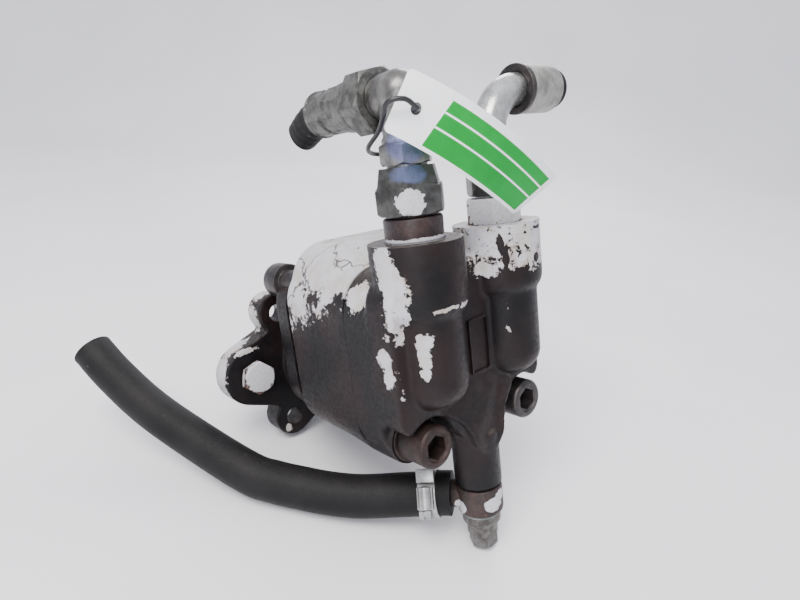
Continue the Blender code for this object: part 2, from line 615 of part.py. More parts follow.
def left_fitting():
    x, top = PORT_X["left"], PORT_TOP + GAP
    turn = math.radians(12)
    adaptor = [(0, 244), (11.4, 244), (11.4, top + 13.5), (16.4, top + 13.5), (17.2, top + 12.5),
               (17.2, top), (PORT_BORE_R - GAP, top), (PORT_BORE_R - GAP, 192), (0, 192)]
    turned("port_adaptor_left", adaptor, BLACK_STEEL, (x, 0, 0))
    nut = place("union_nut_left", hexagon(36.0, 231.0, 246.0, turn=turn), BLACK_STEEL, (x, 0, 0))
    join(nut, taper=hexagon(33.0, 245.9, 257.0, turn=turn, end_flats=29.5))
    cut(nut, bore=cylinder(12.0, 230, 260))
    elbow = place("elbow_left", cylinder(11.5, 244 + GAP, 282, sides=MEDIUM), ZINC, (x, 0, 0))
    join(elbow,
         collar=hexagon(27.0, 258.0, 269.5, turn=turn),
         bend=cylinder(11.5, 278, ELBOW_Z, sides=MEDIUM, end_radius=12.9),
         knuckle=ellipsoid((13.3, 13.3, 13.3), (0, 0, ELBOW_Z)),
         leg=cylinder(12.9, 0, 15, (0, ELBOW_Z), 'Y', FINE))
    nut = place("swivel_nut_left", hexagon(34.0, 15 + 2 * GAP, 32.0, (0, 0), 'Y', math.radians(20)),
                ZINC, (x, 0, ELBOW_Z))
    cut(nut, bore=cylinder(11.4, 14, 34, (0, 0), 'Y'))
    insert = [(0, 40), (15.5, 40), (15.5, 35.5), (14.5, 33), (11.0, 33), (11.0, 15 + GAP), (0, 15 + GAP)]
    turned("hose_insert_left", insert, ZINC, (x, 0, ELBOW_Z), 'Y')
    ferrule = turned("ferrule_left", [(12.0, 78), (13.6, 78), (14.6, 75), (14.6, 46), (15.0, 40 + GAP),
                                      (12.0, 40 + GAP)], ZINC, (x, 0, ELBOW_Z), 'Y', 16)
    ferrule.rotation_euler.rotate_axis('Z', math.radians(11))
    route = [Vector((x, 40.6, ELBOW_Z)), Vector((x, 62, ELBOW_Z)), Vector((x, 80, ELBOW_Z - 0.5)),
             Vector((x, 92, ELBOW_Z - 4)), Vector((x, 104, ELBOW_Z - 10))]
    swept("hose_stub_left", smooth_route(route, 9), 11.3, RUBBER, 5)


def right_fitting():
    x, top = PORT_X["right"], PORT_TOP + GAP
    adaptor = place("port_adaptor_right", hexagon(33.0, top, 232.0, turn=math.radians(8)), PALE_PAINT,
                    (x, 0, 0))
    join(adaptor, stud=cylinder(PORT_BORE_R - GAP, 192, top + 1), nose=cylinder(9.8, 231, 244))
    nut = place("union_nut_right", hexagon(30.0, 233.5, 251.0, turn=math.radians(25)), BLACK_STEEL,
                (x, 0, 0))
    cut(nut, bore=cylinder(10.9, 232, 252))
    radius, level = 29.0, 297.0
    route = [Vector((x, 0, 244 + GAP)), Vector((x, 0, 256)), Vector((x, 0, level - radius))]
    for i in range(1, 9):
        angle = i * math.pi / 16
        route.append(Vector((x + radius * (1 - math.cos(angle)), 0,
                             level - radius + radius * math.sin(angle))))
    route += [Vector((x + radius + 12, 0, level)), Vector((x + radius + 27, 0, level))]
    swept("tube_right", route, 10.5, ZINC, 6)
    turned("tube_collar_right", tube_profile(15.8, 10.9, 64, 68, 0.8), BLACK_STEEL, (0, 0, level), 'X')
    turned("ferrule_right", [(13.2, 98), (14.6, 98), (15.4, 96), (15.4, 71), (14.9, 68 + GAP),
                             (13.2, 68 + GAP)], ZINC, (0, 0, level), 'X')
    turned("hose_stub_right", tube_profile(12.9, 10.9, 69, 104), RUBBER, (0, 0, level), 'X', MEDIUM)


# ---------------------------------------------------------------- case drain


def drain():
    at = (0, DRAIN_Y, 0)
    turned("drain_washer_upper", tube_profile(12.0, DRAIN_BOLT_R + GAP, BANJO_HIGH + GAP,
                                              DRAIN_BOSS_LOW - GAP), ZINC, at, sides=MEDIUM)
    turned("drain_washer_lower", tube_profile(13.5, DRAIN_BOLT_R + GAP, DRAIN_LAND + GAP,
                                              BANJO_LOW - GAP), ZINC, at, sides=MEDIUM)
    banjo = place("banjo_fitting", cylinder(BANJO_R, BANJO_LOW, BANJO_HIGH, sides=FINE), BROWN_STEEL, at)
    nipple = cylinder(NIPPLE_R, 8, NIPPLE_END, (0, NIPPLE_Z), 'X', COARSE)
    nipple.transform(Matrix.Rotation(NIPPLE_TURN, 4, 'Z'))
    join(banjo, nipple=nipple)
    cut(banjo, bore=cylinder(DRAIN_BOLT_R + GAP, BANJO_LOW - 1, BANJO_HIGH + 1, sides=COARSE))
    bolt = place("banjo_bolt", hexagon(DRAIN_HEX, 0, DRAIN_HEAD, turn=math.radians(30)), ZINC, at)
    join(bolt,
         collar=cylinder(DRAIN_COLLAR_R, DRAIN_HEAD - 0.5, DRAIN_COLLAR, sides=MEDIUM),
         land=cylinder(DRAIN_LAND_R, DRAIN_COLLAR - 0.5, DRAIN_LAND, sides=MEDIUM),
         shank=cylinder(DRAIN_BOLT_R, DRAIN_LAND - 1, 66, sides=COARSE))


def bench_to_stand(point):
    """A bench-frame point, in the standing frame, in millimetres."""
    return lean_matrix() @ (Vector(point) * MM) / MM


def hose_route():
    """The hose starts just off the nipple's end and leaves it in line."""
    along = Vector((math.cos(NIPPLE_TURN), math.sin(NIPPLE_TURN), 0))
    root = Vector((0, DRAIN_Y, NIPPLE_Z))
    line = [bench_to_stand(root + along * (NIPPLE_END + reach)) for reach in (GAP, 9)]
    return line + [Vector(point) for point in HOSE_ROUTE]


def hose_line():
    return smooth_route(hose_route(), 2.2 * HOSE_R)


def drain_hose():
    swept("drain_hose", hose_line(), HOSE_R, RUBBER, 4, stand=False)


def clamp_frame():
    """The clamp's own frame on the hose: X along the hose, Y out through the worm, Z along the worm."""
    start, end = hose_line()[CLAMP_SPAN:CLAMP_SPAN + 2]
    along = (end - start).normalized()
    out = Vector((0, 0, 1)).cross(along).normalized()
    out = Matrix.Rotation(CLAMP_ROLL, 3, along) @ out
    turn = Matrix((along, out, along.cross(out))).transposed().to_4x4()
    return Matrix.Translation((start + end) / 2 * MM) @ turn


def hose_clamp():
    frame = clamp_frame()
    inner, outer = HOSE_R + GAP, HOSE_R + 1.5
    half = CLAMP_WIDTH / 2
    band = place("clamp_band", cylinder(outer, -half, half, axis='X', sides=FINE), ZINC, stand=False)
    join(band, tail=box((-half, outer - 1.5, 6), (half, outer + 0.6, 17)))
    cut(band, bore=cylinder(inner, -half - 1, half + 1, axis='X', sides=FINE))
    band.matrix_world = frame
    worm = CLAMP_SCREW_OUT
    shell = place("clamp_housing", box((-half + 0.5, outer + 0.9, -9), (half - 0.5, worm + 3.8, 5.4)), ZINC,
                  stand=False)
    cut(shell, bore=cylinder(3.1, -10, 7, (0, worm), 'Z', COARSE))
    shell.matrix_world = frame
    screw = place("clamp_screw", cylinder(2.8, -10, 6.5, sides=COARSE), ZINC, stand=False)
    join(screw, head=hexagon(8.0, -14.5, -9.3))
    cut(screw, slot=box((-0.6, -6, -16), (0.6, 6, -13)))
    screw.matrix_world = frame @ Matrix.Translation((0, worm * MM, 0))


# ---------------------------------------------------------------- tag


def tag_frame(share):
    """At a share of the tag's length: X along it, Y up across it, Z out of its face."""
    middle = TAG_LEFT.lerp(TAG_RIGHT, share) + TAG_BOW * 4 * share * (1 - share)
    along = (TAG_RIGHT - TAG_LEFT + TAG_BOW * 4 * (1 - 2 * share)).normalized()
    face = along.cross(TAG_UP_LEFT.lerp(TAG_UP_RIGHT, share)).normalized()
    turn = Matrix((along, face.cross(along), face)).transposed().to_4x4()
    return Matrix.Translation(middle * MM) @ turn


def stock_tag():
    bm = bmesh.new()
    half, thick = TAG_HALF_WIDTH * MM, TAG_THICK / 2 * MM
    section = [Vector(corner) for corner in ((0, -half, -thick), (0, half, -thick), (0, half, thick),
                                             (0, -half, thick))]
    rings = [[bm.verts.new(tag_frame(i / TAG_STEPS) @ corner) for corner in section]
             for i in range(TAG_STEPS + 1)]
    for a, b in zip(rings, rings[1:]):
        for i in range(4):
            bm.faces.new((a[i - 1], a[i], b[i], b[i - 1]))
    bm.faces.new(rings[0])
    bm.faces.new(rings[-1])
    bmesh.ops.triangulate(bm, faces=bm.faces)
    tag = place("stock_tag", finish_mesh(bm, "stock_tag", smooth=False), CARD)
    hole = tag_frame(TAG_HOLE / (TAG_RIGHT - TAG_LEFT).length)
    punch = cylinder(3.2, -2, 2, sides=COARSE)
    punch.transform(hole)
    cut(tag, hole=punch)
    middle, out = hole.translation / MM, hole.to_3x3() @ Vector((0, 0, 1))
    route = [middle + out * 2.5, middle - out * 6] + [Vector(point) for point in TIE_ROUTE]
    tie = swept("tag_cable_tie", smooth_route(route + [route[0]], 6)[:-1], 1.3, RUBBER, 2, loop=True)
    join(tie, head=box((-17.5, -5.5, 273.5), (-12.5, 1.5, 278.5)),
         tail=box((-15, -2.6, 275), (9, -1.2, 278)))


end_cover()
gear_housing()
mounting_flange()
gears()
bearing_blocks()
seals()
screws()
flange_bolt()
left_fitting()
right_fitting()
drain()
drain_hose()
hose_clamp()
stock_tag()
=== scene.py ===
"""Looks of the hydraulic gear unit: cast-iron cover, housing and flange with chipped light paint, grimy
and plated hose unions, a worm-clamped drain hose and a stock tag.

Lengths are in millimetres in the unit's own bench frame (X from port to port, Y along the shaft from
the cover to the flange, Z up through the ports) unless a name says otherwise; BENCH turns that frame into
the standing one, where the unit leans back on its drain bolt and its lower flange feet.
"""
import json
import math

import bmesh
import bpy
from mathutils import Matrix, Vector


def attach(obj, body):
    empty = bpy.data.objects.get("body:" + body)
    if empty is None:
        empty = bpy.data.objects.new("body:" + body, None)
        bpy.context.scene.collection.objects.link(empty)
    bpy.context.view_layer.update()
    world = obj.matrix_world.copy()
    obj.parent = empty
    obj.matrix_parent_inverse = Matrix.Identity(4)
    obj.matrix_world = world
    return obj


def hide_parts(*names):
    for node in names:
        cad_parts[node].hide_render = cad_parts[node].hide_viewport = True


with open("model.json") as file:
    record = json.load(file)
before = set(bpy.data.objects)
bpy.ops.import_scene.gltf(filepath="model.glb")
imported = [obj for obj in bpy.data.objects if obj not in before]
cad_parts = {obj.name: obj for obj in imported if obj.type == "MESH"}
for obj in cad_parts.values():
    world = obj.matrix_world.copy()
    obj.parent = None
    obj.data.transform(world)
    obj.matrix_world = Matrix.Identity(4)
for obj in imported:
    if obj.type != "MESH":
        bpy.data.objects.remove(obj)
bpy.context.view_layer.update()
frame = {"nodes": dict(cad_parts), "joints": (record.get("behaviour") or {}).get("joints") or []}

MM = 0.001
FINE = 72                       # sides of a large round piece
ROUND = 48                      # sides of a small one
SHARP_EDGE = math.radians(35)   # edges sharper than this get a small bevel
SHADED_EDGE = math.radians(38)  # edges sharper than this are shaded as edges
SHAFT_Z = 110.0
IDLER_Z = 158.0

SHAFT = next(joint for joint in frame["joints"] if joint["name"] == "shaft_turn")
LEAN = math.atan2(-SHAFT["axis"][2], SHAFT["axis"][1])
LEAN_TURN = Matrix.Rotation(-LEAN, 4, 'X')
BENCH = Matrix.Translation(Vector(SHAFT["pos_m"]) - LEAN_TURN @ Vector((0, 0, SHAFT_Z * MM))) @ LEAN_TURN


def placed(name, data):
    """A new object in the scene."""
    made = bpy.data.objects.new(name, data)
    bpy.context.scene.collection.objects.link(made)
    return made


def axes(at, x, y, z):
    """The matrix of a frame at a point in metres."""
    return Matrix.Translation(at) @ Matrix((x, y, z)).transposed().to_4x4()


# ---- camera

CAMERA_AT = Vector((-0.2462, -0.2873, 0.3154))
CAMERA_FORWARD = Vector((0.6072, 0.6710, -0.4255))
CAMERA_UP = Vector((0.2333, 0.3613, 0.9028))
CAMERA_LENS = 25.33


def camera():
    data = bpy.data.cameras.new("camera")
    data.lens = CAMERA_LENS
    data.sensor_width = 36.0
    data.clip_start = 0.01
    back = -CAMERA_FORWARD.normalized()
    right = CAMERA_UP.cross(back).normalized()
    made = placed("camera", data)
    made.matrix_world = axes(CAMERA_AT, right, back.cross(right), back)
    bpy.context.scene.camera = made


camera()


# ---- shader building

class Look:
    """A procedural material on a Principled shader, with its coordinates in millimetres."""

    def __init__(self, name):
        self.material = bpy.data.materials.new(name)
        self.material.use_nodes = True
        self.tree = self.material.node_tree
        self.shader = self.tree.nodes["Principled BSDF"]
        coordinates = self.add('ShaderNodeTexCoord')
        self.place = self.vector('SCALE', coordinates.outputs["Object"], scale=1000.0)

    def add(self, kind, **settings):
        node = self.tree.nodes.new(kind)
        for key, value in settings.items():
            setattr(node, key, value)
        return node

    def feed(self, value, socket):
        if isinstance(value, bpy.types.NodeSocket):
            self.tree.links.new(value, socket)
        elif isinstance(value, (tuple, list)) and len(value) == 3 and socket.type == 'RGBA':
            socket.default_value = (*value, 1.0)
        else:
            socket.default_value = value

    def math(self, operation, *values):
        node = self.add('ShaderNodeMath', operation=operation)
        for value, socket in zip(values, node.inputs):
            self.feed(value, socket)
        return node.outputs[0]

    def times(self, a, b):
        return self.math('MULTIPLY', a, b)

    def plus(self, a, b):
        return self.math('ADD', a, b)

    def minus(self, a, b):
        return self.math('SUBTRACT', a, b)

    def without(self, a, b):
        """a where b is 0, and 0 where b is 1."""
        return self.times(a, self.minus(1.0, b))

    def vector(self, operation, *values, scale=None):
        node = self.add('ShaderNodeVectorMath', operation=operation)
        for value, socket in zip(values, node.inputs):
            self.feed(value, socket)
        if scale is not None:
            self.feed(scale, node.inputs["Scale"])
        return node.outputs["Value" if operation in ('LENGTH', 'DOT_PRODUCT') else "Vector"]

    def texture(self, kind, place, size, **settings):
        node = self.add(kind, **settings)
        self.feed(place, node.inputs["Vector"])
        node.inputs["Scale"].default_value = 1.0 / size
        return node

    def noise(self, size, detail=5.0, rough=0.6, shift=0.0, stretch=(1, 1, 1)):
        place = self.vector('MULTIPLY_ADD', self.place, tuple(1.0 / s for s in stretch),
                            (shift, shift * 0.7, -shift))
        texture = self.texture('ShaderNodeTexNoise', place, size)
        texture.inputs["Detail"].default_value = detail
        texture.inputs["Roughness"].default_value = rough
        return texture.outputs["Fac"]

    def patches(self, low, high, *noise):
        """0 to 1 as the noise, given as noise() takes it, goes from low to high."""
        return self.step(self.noise(*noise), low, high)

    def wobble(self, amount, size, shift=0.0):
        """The place, moved about by noise."""
        place = self.vector('ADD', self.place, (shift, shift, shift))
        texture = self.texture('ShaderNodeTexNoise', place, size)
        texture.inputs["Detail"].default_value = 4.0
        centred = self.vector('SUBTRACT', texture.outputs["Color"], (0.5, 0.5, 0.5))
        return self.vector('ADD', self.place, self.vector('SCALE', centred, scale=2.0 * amount))

    def cracks(self, size, width, shift=0.0):
        """1 on thin lines between cells, 0 elsewhere; the cells are warped so the lines wander."""
        place = self.vector('ADD', self.wobble(size * 0.7, size * 0.8, shift), (shift, shift, shift))
        texture = self.texture('ShaderNodeTexVoronoi', place, size, feature='DISTANCE_TO_EDGE')
        return self.step(texture.outputs["Distance"], width / size, 0.0)

    def flakes(self, size, shift=0.0):
        """A value between -0.5 and 0.5 for each flake-shaped cell."""
        texture = self.texture('ShaderNodeTexVoronoi', self.wobble(size * 0.4, size, shift), size)
        return self.minus(self.axis(0, texture.outputs["Color"]), 0.5)

    def step(self, value, low, high):
        """0 at low, 1 at high, smooth between; low may be the larger."""
        node = self.add('ShaderNodeMapRange', interpolation_type='SMOOTHSTEP', clamp=True)
        self.feed(value, node.inputs["Value"])
        node.inputs["From Min"].default_value = low
        node.inputs["From Max"].default_value = high
        return node.outputs["Result"]

    def mixed(self, kind, sockets, out, *values):
        node = self.add('ShaderNodeMix', data_type=kind)
        for value, socket in zip(values, sockets):
            self.feed(value, node.inputs[socket])
        return node.outputs[out]

    def mix(self, factor, a, b):
        """Two colours mixed."""
        return self.mixed('RGBA', (0, 6, 7), 2, factor, a, b)

    def blend(self, factor, a, b):
        """Two values mixed."""
        return self.mixed('FLOAT', (0, 2, 3), 0, factor, a, b)

    def axis(self, which, where=None):
        node = self.add('ShaderNodeSeparateXYZ')
        self.feed(where or self.place, node.inputs[0])
        return node.outputs[which]

    def facing(self, direction):
        """How far the surface faces a standing-frame direction, -1 to 1."""
        geometry = self.add('ShaderNodeNewGeometry')
        return self.vector('DOT_PRODUCT', geometry.outputs["Normal"], direction)

    def edges(self):
        """1 on convex edges."""
        geometry = self.add('ShaderNodeNewGeometry')
        return self.step(geometry.outputs["Pointiness"], 0.53, 0.60)

    def blobs(self, where, blobs):
        """The highest of several ellipsoid fields: above 0 inside a blob, 1 at its centre."""
        field = None
        for centre, radii in blobs:
            offset = self.vector('SUBTRACT', where, centre)
            reach = self.vector('LENGTH', self.vector('MULTIPLY', offset, tuple(1.0 / r for r in radii)))
            here = self.minus(1.0, reach)
            field = here if field is None else self.math('MAXIMUM', field, here)
        return field

    def bump(self, *layers):
        """Stacked bumps, each (height, depth in millimetres, strength)."""
        normal = None
        for height, depth, strength in layers:
            node = self.add('ShaderNodeBump')
            node.inputs["Strength"].default_value = strength
            node.inputs["Distance"].default_value = depth * MM
            self.feed(height, node.inputs["Height"])
            if normal:
                self.feed(normal, node.inputs["Normal"])
            normal = node.outputs["Normal"]
        self.feed(normal, self.shader.inputs["Normal"])

    def set(self, **values):
        for key, value in values.items():
            self.feed(value, self.shader.inputs[key.replace("_", " ")])
        return self.material


# ---- mesh building

AXIS_TURN = {
    'Z': Matrix.Identity(4),
    'Y': Matrix.Rotation(-math.pi / 2, 4, 'X'),
    'X': Matrix.Rotation(math.pi / 2, 4, 'Y'),
}


def mesh_of(bm):
    bmesh.ops.recalc_face_normals(bm, faces=bm.faces)
    mesh = bpy.data.meshes.new("mesh")
    bm.to_mesh(mesh)
    bm.free()
    return mesh


def moved(mesh, x=0, y=0, z=0):
    mesh.transform(Matrix.Translation(Vector((x, y, z)) * MM))
    return mesh


def bridge(bm, a, b):
    """Faces between two rings of points; a ring of one point is a tip."""
    sides = max(len(a), len(b))
    for i in range(sides):
        j = (i + 1) % sides
        corners = (a[i % len(a)], a[j % len(a)], b[j % len(b)], b[i % len(b)])
        bm.faces.new(list(dict.fromkeys(corners)))


def cylinder(radius, start, end, centre=(0, 0), axis='Z', sides=FINE, end_radius=None, turn=0.0):
    bm = bmesh.new()
    bmesh.ops.create_cone(
        bm, cap_ends=True, segments=sides, radius1=radius * MM,
        radius2=(radius if end_radius is None else end_radius) * MM, depth=(end - start) * MM)
    bmesh.ops.rotate(bm, verts=bm.verts, matrix=Matrix.Rotation(turn, 3, 'Z'))
    bmesh.ops.transform(bm, verts=bm.verts, matrix=AXIS_TURN[axis])
    middle = (start + end) / 2
    at = {'Z': (centre[0], centre[1], middle),
          'Y': (centre[0], middle, centre[1]),
          'X': (middle, centre[0], centre[1])}[axis]
    bmesh.ops.translate(bm, verts=bm.verts, vec=Vector(at) * MM)
    return mesh_of(bm)


def hexagon(flats, start, end, axis='Z', turn=0.0, end_flats=None):
    corner, end_corner = (across / 2 / math.cos(math.pi / 6) for across in (flats, end_flats or flats))
    return cylinder(corner, start, end, (0, 0), axis, 6, end_corner, turn)


def ellipsoid(radii, at):
    bm = bmesh.new()
    bmesh.ops.create_uvsphere(bm, u_segments=FINE, v_segments=FINE // 2, radius=1.0)
    bmesh.ops.scale(bm, verts=bm.verts, vec=Vector(radii) * MM)
    bmesh.ops.translate(bm, verts=bm.verts, vec=Vector(at) * MM)
    return mesh_of(bm)


def box(low, high):
    bm = bmesh.new()
    bmesh.ops.create_cube(bm, size=1.0)
    bmesh.ops.scale(bm, verts=bm.verts, vec=(Vector(high) - Vector(low)) * MM)
    bmesh.ops.translate(bm, verts=bm.verts, vec=(Vector(high) + Vector(low)) / 2 * MM)
    return mesh_of(bm)


def arc(centre, radius, start, end, count):
    points = []
    for i in range(count + 1):
        angle = math.radians(start + (end - start) * i / count)
        points.append((centre[0] + radius * math.cos(angle), centre[1] + radius * math.sin(angle)))
    return points


def rounded_rectangle(centre, half_w, half_h, corner, count=12):
    points = []
    for sx, sz, start in ((1, 1, 0), (-1, 1, 90), (-1, -1, 180), (1, -1, 270)):
        middle = (centre[0] + sx * (half_w - corner), centre[1] + sz * (half_h - corner))
        points += arc(middle, corner, start, start + 90, count)
    return points


def hull(circles):
    """The convex outline round a set of circles, each (x, z, radius)."""
    cloud = []
    for x, z, radius in circles:
        cloud += arc((x, z), radius, 0, 360 - 360 / FINE, FINE - 1)
    cloud = sorted(set(cloud))

    def chain(points):
        line = []
        for p in points:
            while len(line) > 1 and ((line[-1][0] - line[-2][0]) * (p[1] - line[-2][1])
                                     - (line[-1][1] - line[-2][1]) * (p[0] - line[-2][0])) <= 0:
                line.pop()
            line.append(p)
        return line[:-1]

    return chain(cloud) + chain(cloud[::-1])


def plate(outline, start, end, back_scale=1.0, about=(0, 0)):
    """An (x, z) outline extruded along Y; the back outline may be scaled about a point."""
    bm = bmesh.new()
    front = [bm.verts.new((x * MM, start * MM, z * MM)) for x, z in outline]
    grown = bmesh.ops.extrude_face_region(bm, geom=[bm.faces.new(front)])
    for vert in [v for v in grown["geom"] if isinstance(v, bmesh.types.BMVert)]:
        vert.co.y = end * MM
        vert.co.x = (about[0] + (vert.co.x / MM - about[0]) * back_scale) * MM
        vert.co.z = (about[1] + (vert.co.z / MM - about[1]) * back_scale) * MM
    return mesh_of(bm)


def lathe(profile, at=(0, 0, 0), axis='Z', sides=FINE, shape=None):
    """A solid of revolution of (radius, height) points; shape may change a radius by angle and height."""
    bm = bmesh.new()
    rings = []
    for radius, height in profile:
        if radius <= 0:
            rings.append([bm.verts.new((0, 0, height * MM))])
            continue
        ring = []
        for i in range(sides):
            angle = 2 * math.pi * i / sides
            r = shape(radius, angle, height) if shape else radius
            ring.append(bm.verts.new((r * math.cos(angle) * MM, r * math.sin(angle) * MM, height * MM)))
        rings.append(ring)
    closed = profile[0][0] > 0 and profile[-1][0] > 0
    for a, b in zip(rings, rings[1:] + (rings[:1] if closed else [])):
        bridge(bm, a, b)
    bmesh.ops.transform(bm, verts=bm.verts, matrix=Matrix.Translation(Vector(at) * MM) @ AXIS_TURN[axis])
    return mesh_of(bm)


def rounded(profile, radius, steps):
    """A profile with its corners rounded; points on the axis stay."""
    points = [Vector(p) for p in profile]
    result = []
    for i, p in enumerate(points):
        if p.x <= 0:
            result.append(tuple(p))
            continue
        before, after = points[i - 1] - p, points[(i + 1) % len(points)] - p
        reach = min(radius, before.length * 0.45, after.length * 0.45)
        a, b = p + before.normalized() * reach, p + after.normalized() * reach
        for k in range(steps + 1):
            t = k / steps
            result.append(tuple(a * (1 - t) ** 2 + p * 2 * t * (1 - t) + b * t ** 2))
    return result


def turned(profile, corner, steps, at=(0, 0, 0), axis='Z', sides=FINE):
    return lathe(rounded(profile, corner, steps), at, axis, sides)


def ring(inner, outer, start, end, corner, steps, at=(0, 0, 0), axis='Z', sides=FINE):
    profile = [(inner, start), (outer, start), (outer, end), (inner, end)]
    return turned(profile, corner, steps, at, axis, sides)


def smooth_route(points, step):
    """Points about one step apart on a Catmull-Rom curve through the given points."""
    points = [Vector(p) for p in points]
    ends = [points[0] * 2 - points[1]] + points + [points[-1] * 2 - points[-2]]
    route = []
    for p0, p1, p2, p3 in zip(ends, ends[1:], ends[2:], ends[3:]):
        count = max(2, round((p2 - p1).length / step))
        for i in range(count):
            t = i / count
            route.append(0.5 * (2 * p1 + (p2 - p0) * t + (2 * p0 - 5 * p1 + 4 * p2 - p3) * t ** 2
                                + (3 * p1 - p0 - 3 * p2 + p3) * t ** 3))
    return route + [points[-1]]


def sweep(route, radius, sides=ROUND, shape=None, bore=None, bore_depth=0, loop=False):
    """A round bar along a route, with flat or bored ends; shape may change a radius by angle and run."""
    bm = bmesh.new()
    count = len(route)
    frames = []
    side = None
    run = 0.0
    for i, point in enumerate(route):
        before, after = (i - 1, (i + 1) % count) if loop else (max(i - 1, 0), min(i + 1, count - 1))
        along = (route[after] - route[before]).normalized()
        if side is None:
            side = Vector((0, 0, 1)) if abs(along.z) < 0.9 else Vector((1, 0, 0))
        side = (side - along * side.dot(along)).normalized()
        if i:
            run += (point - route[i - 1]).length
        frames.append((point, side, along.cross(side), run))

    def circle(at, r, shift=0.0, shaped=True):
        point, x, y, here = at
        verts = []
        for k in range(sides):
            angle = 2 * math.pi * k / sides
            size = shape(r, angle, here) if shape and shaped else r
            spot = point + (x * math.cos(angle) + y * math.sin(angle)) * size + x.cross(y) * shift
            verts.append(bm.verts.new(spot * MM))
        return verts

    rings = [circle(at, radius) for at in frames]
    if bore:
        rings += [circle(frames[-1], bore, shift, False) for shift in (0, -bore_depth)]
    for a, b in zip(rings, rings[1:] + (rings[:1] if loop else [])):
        bridge(bm, a, b)
    if not loop:
        bm.faces.new(rings[0])
        bm.faces.new(rings[-1])
    return mesh_of(bm)


def merged(meshes):
    bm = bmesh.new()
    for mesh in meshes:
        bm.from_mesh(mesh)
    made = bpy.data.meshes.new("merged")
    bm.to_mesh(made)
    bm.free()
    return made


def worked(mesh, *steps):
    """The mesh after modifiers, each (kind, settings)."""
    holder = placed("work", mesh)
    for kind, settings in steps:
        modifier = holder.modifiers.new(kind, kind)
        for key, value in settings.items():
            setattr(modifier, key, value)
    bpy.context.view_layer.update()
    made = bpy.data.meshes.new_from_object(holder.evaluated_get(bpy.context.evaluated_depsgraph_get()))
    bpy.data.objects.remove(holder, do_unlink=True)
    return made


def boolean(operation, mesh, *others):
    """One Boolean of the mesh with all the others together."""
    tools = bpy.data.collections.new("tools")
    bpy.context.scene.collection.children.link(tools)
    helpers = [bpy.data.objects.new("helper", other) for other in others]
    for helper in helpers:
        tools.objects.link(helper)
    made = worked(mesh, ('BOOLEAN', {"operation": operation, "solver": 'MANIFOLD',
                                     "operand_type": 'COLLECTION', "collection": tools}))
    for helper in helpers:
        bpy.data.objects.remove(helper, do_unlink=True)
    bpy.data.collections.remove(tools)
    return made


def joined(mesh, *others):
    return boolean('UNION', mesh, *others)


def carved(mesh, *others):
    return boolean('DIFFERENCE', mesh, *others)


def cast(solids, voxel=1.0, rounds=12):
    """Overlapping solids melted into one casting, with fillets where they meet and rounded edges."""
    return worked(merged(solids),
                  ('REMESH', {"mode": 'VOXEL', "voxel_size": voxel * MM, "adaptivity": 0.0}),
                  ('SMOOTH', {"factor": 0.5, "iterations": rounds}))


def edged(mesh, width):
    """Sharp edges, slightly rounded."""
    return worked(mesh, ('BEVEL', {"width": width * MM, "segments": 2, "limit_method": 'ANGLE',
                                   "angle_limit": SHARP_EDGE, "use_clamp_overlap": True}))


def chamfered_hexagon(flats, start, end, axis='Z', turn=0.0, both=True):
    """A nut's outer shape: a hexagon with its corners turned off at both ends or only at the end."""
    corner = flats / 2 / math.cos(math.pi / 6)
    drop = (corner - flats / 2) * 0.75
    wide, narrow = corner + 0.05, flats / 2 + 0.2
    first = [(narrow, start), (wide, start + drop)] if both else [(wide, start)]
    lens = lathe([(0, start), *first, (wide, end - drop), (narrow, end), (0, end)], axis=axis)
    return boolean('INTERSECT', hexagon(flats, start, end, axis, turn), lens)


def show(name, mesh, look, node=None, body="unit", matrix=BENCH):
    """A finished piece on its body, with its look and the CAD node that it stands for."""
    mesh = mesh.copy()
    mesh.shade_smooth()
    mesh.set_sharp_from_angle(angle=SHADED_EDGE)
    mesh.materials.clear()
    mesh.materials.append(look)
    piece = placed(name, mesh)
    piece.matrix_world = matrix
    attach(piece, body)
    if node:
        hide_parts(node)
    return piece


# ---- looks

PAINT = (0.50, 0.49, 0.53)
OLD_PAINT = (0.43, 0.40, 0.36)
IRON_DARK = (0.0042, 0.0033, 0.0040)
IRON_BROWN = (0.0125, 0.0068, 0.0066)
IRON_GREY = (0.0125, 0.0105, 0.0105)
RUST = (0.19, 0.072, 0.028)
RUST_DARK = (0.070, 0.030, 0.018)


def iron(look, shift, grey):
    """Oily dark casting: (colour, roughness, surface height)."""
    broad = look.noise(38, 4, 0.55, shift)
    fine = look.noise(2.6, 6, 0.7, shift + 3)
    colour = look.mix(look.step(broad, 0.40, 0.62), IRON_DARK, IRON_BROWN)
    greyed = look.times(look.patches(0.46, 0.66, 22, 6, 0.7, shift + 7), grey)
    colour = look.mix(greyed, colour, IRON_GREY)
    colour = look.mix(look.times(look.step(fine, 0.55, 0.75), 0.30), colour, (0.024, 0.019, 0.018))
    return colour, look.blend(look.step(fine, 0.35, 0.7), 0.34, 0.62), fine


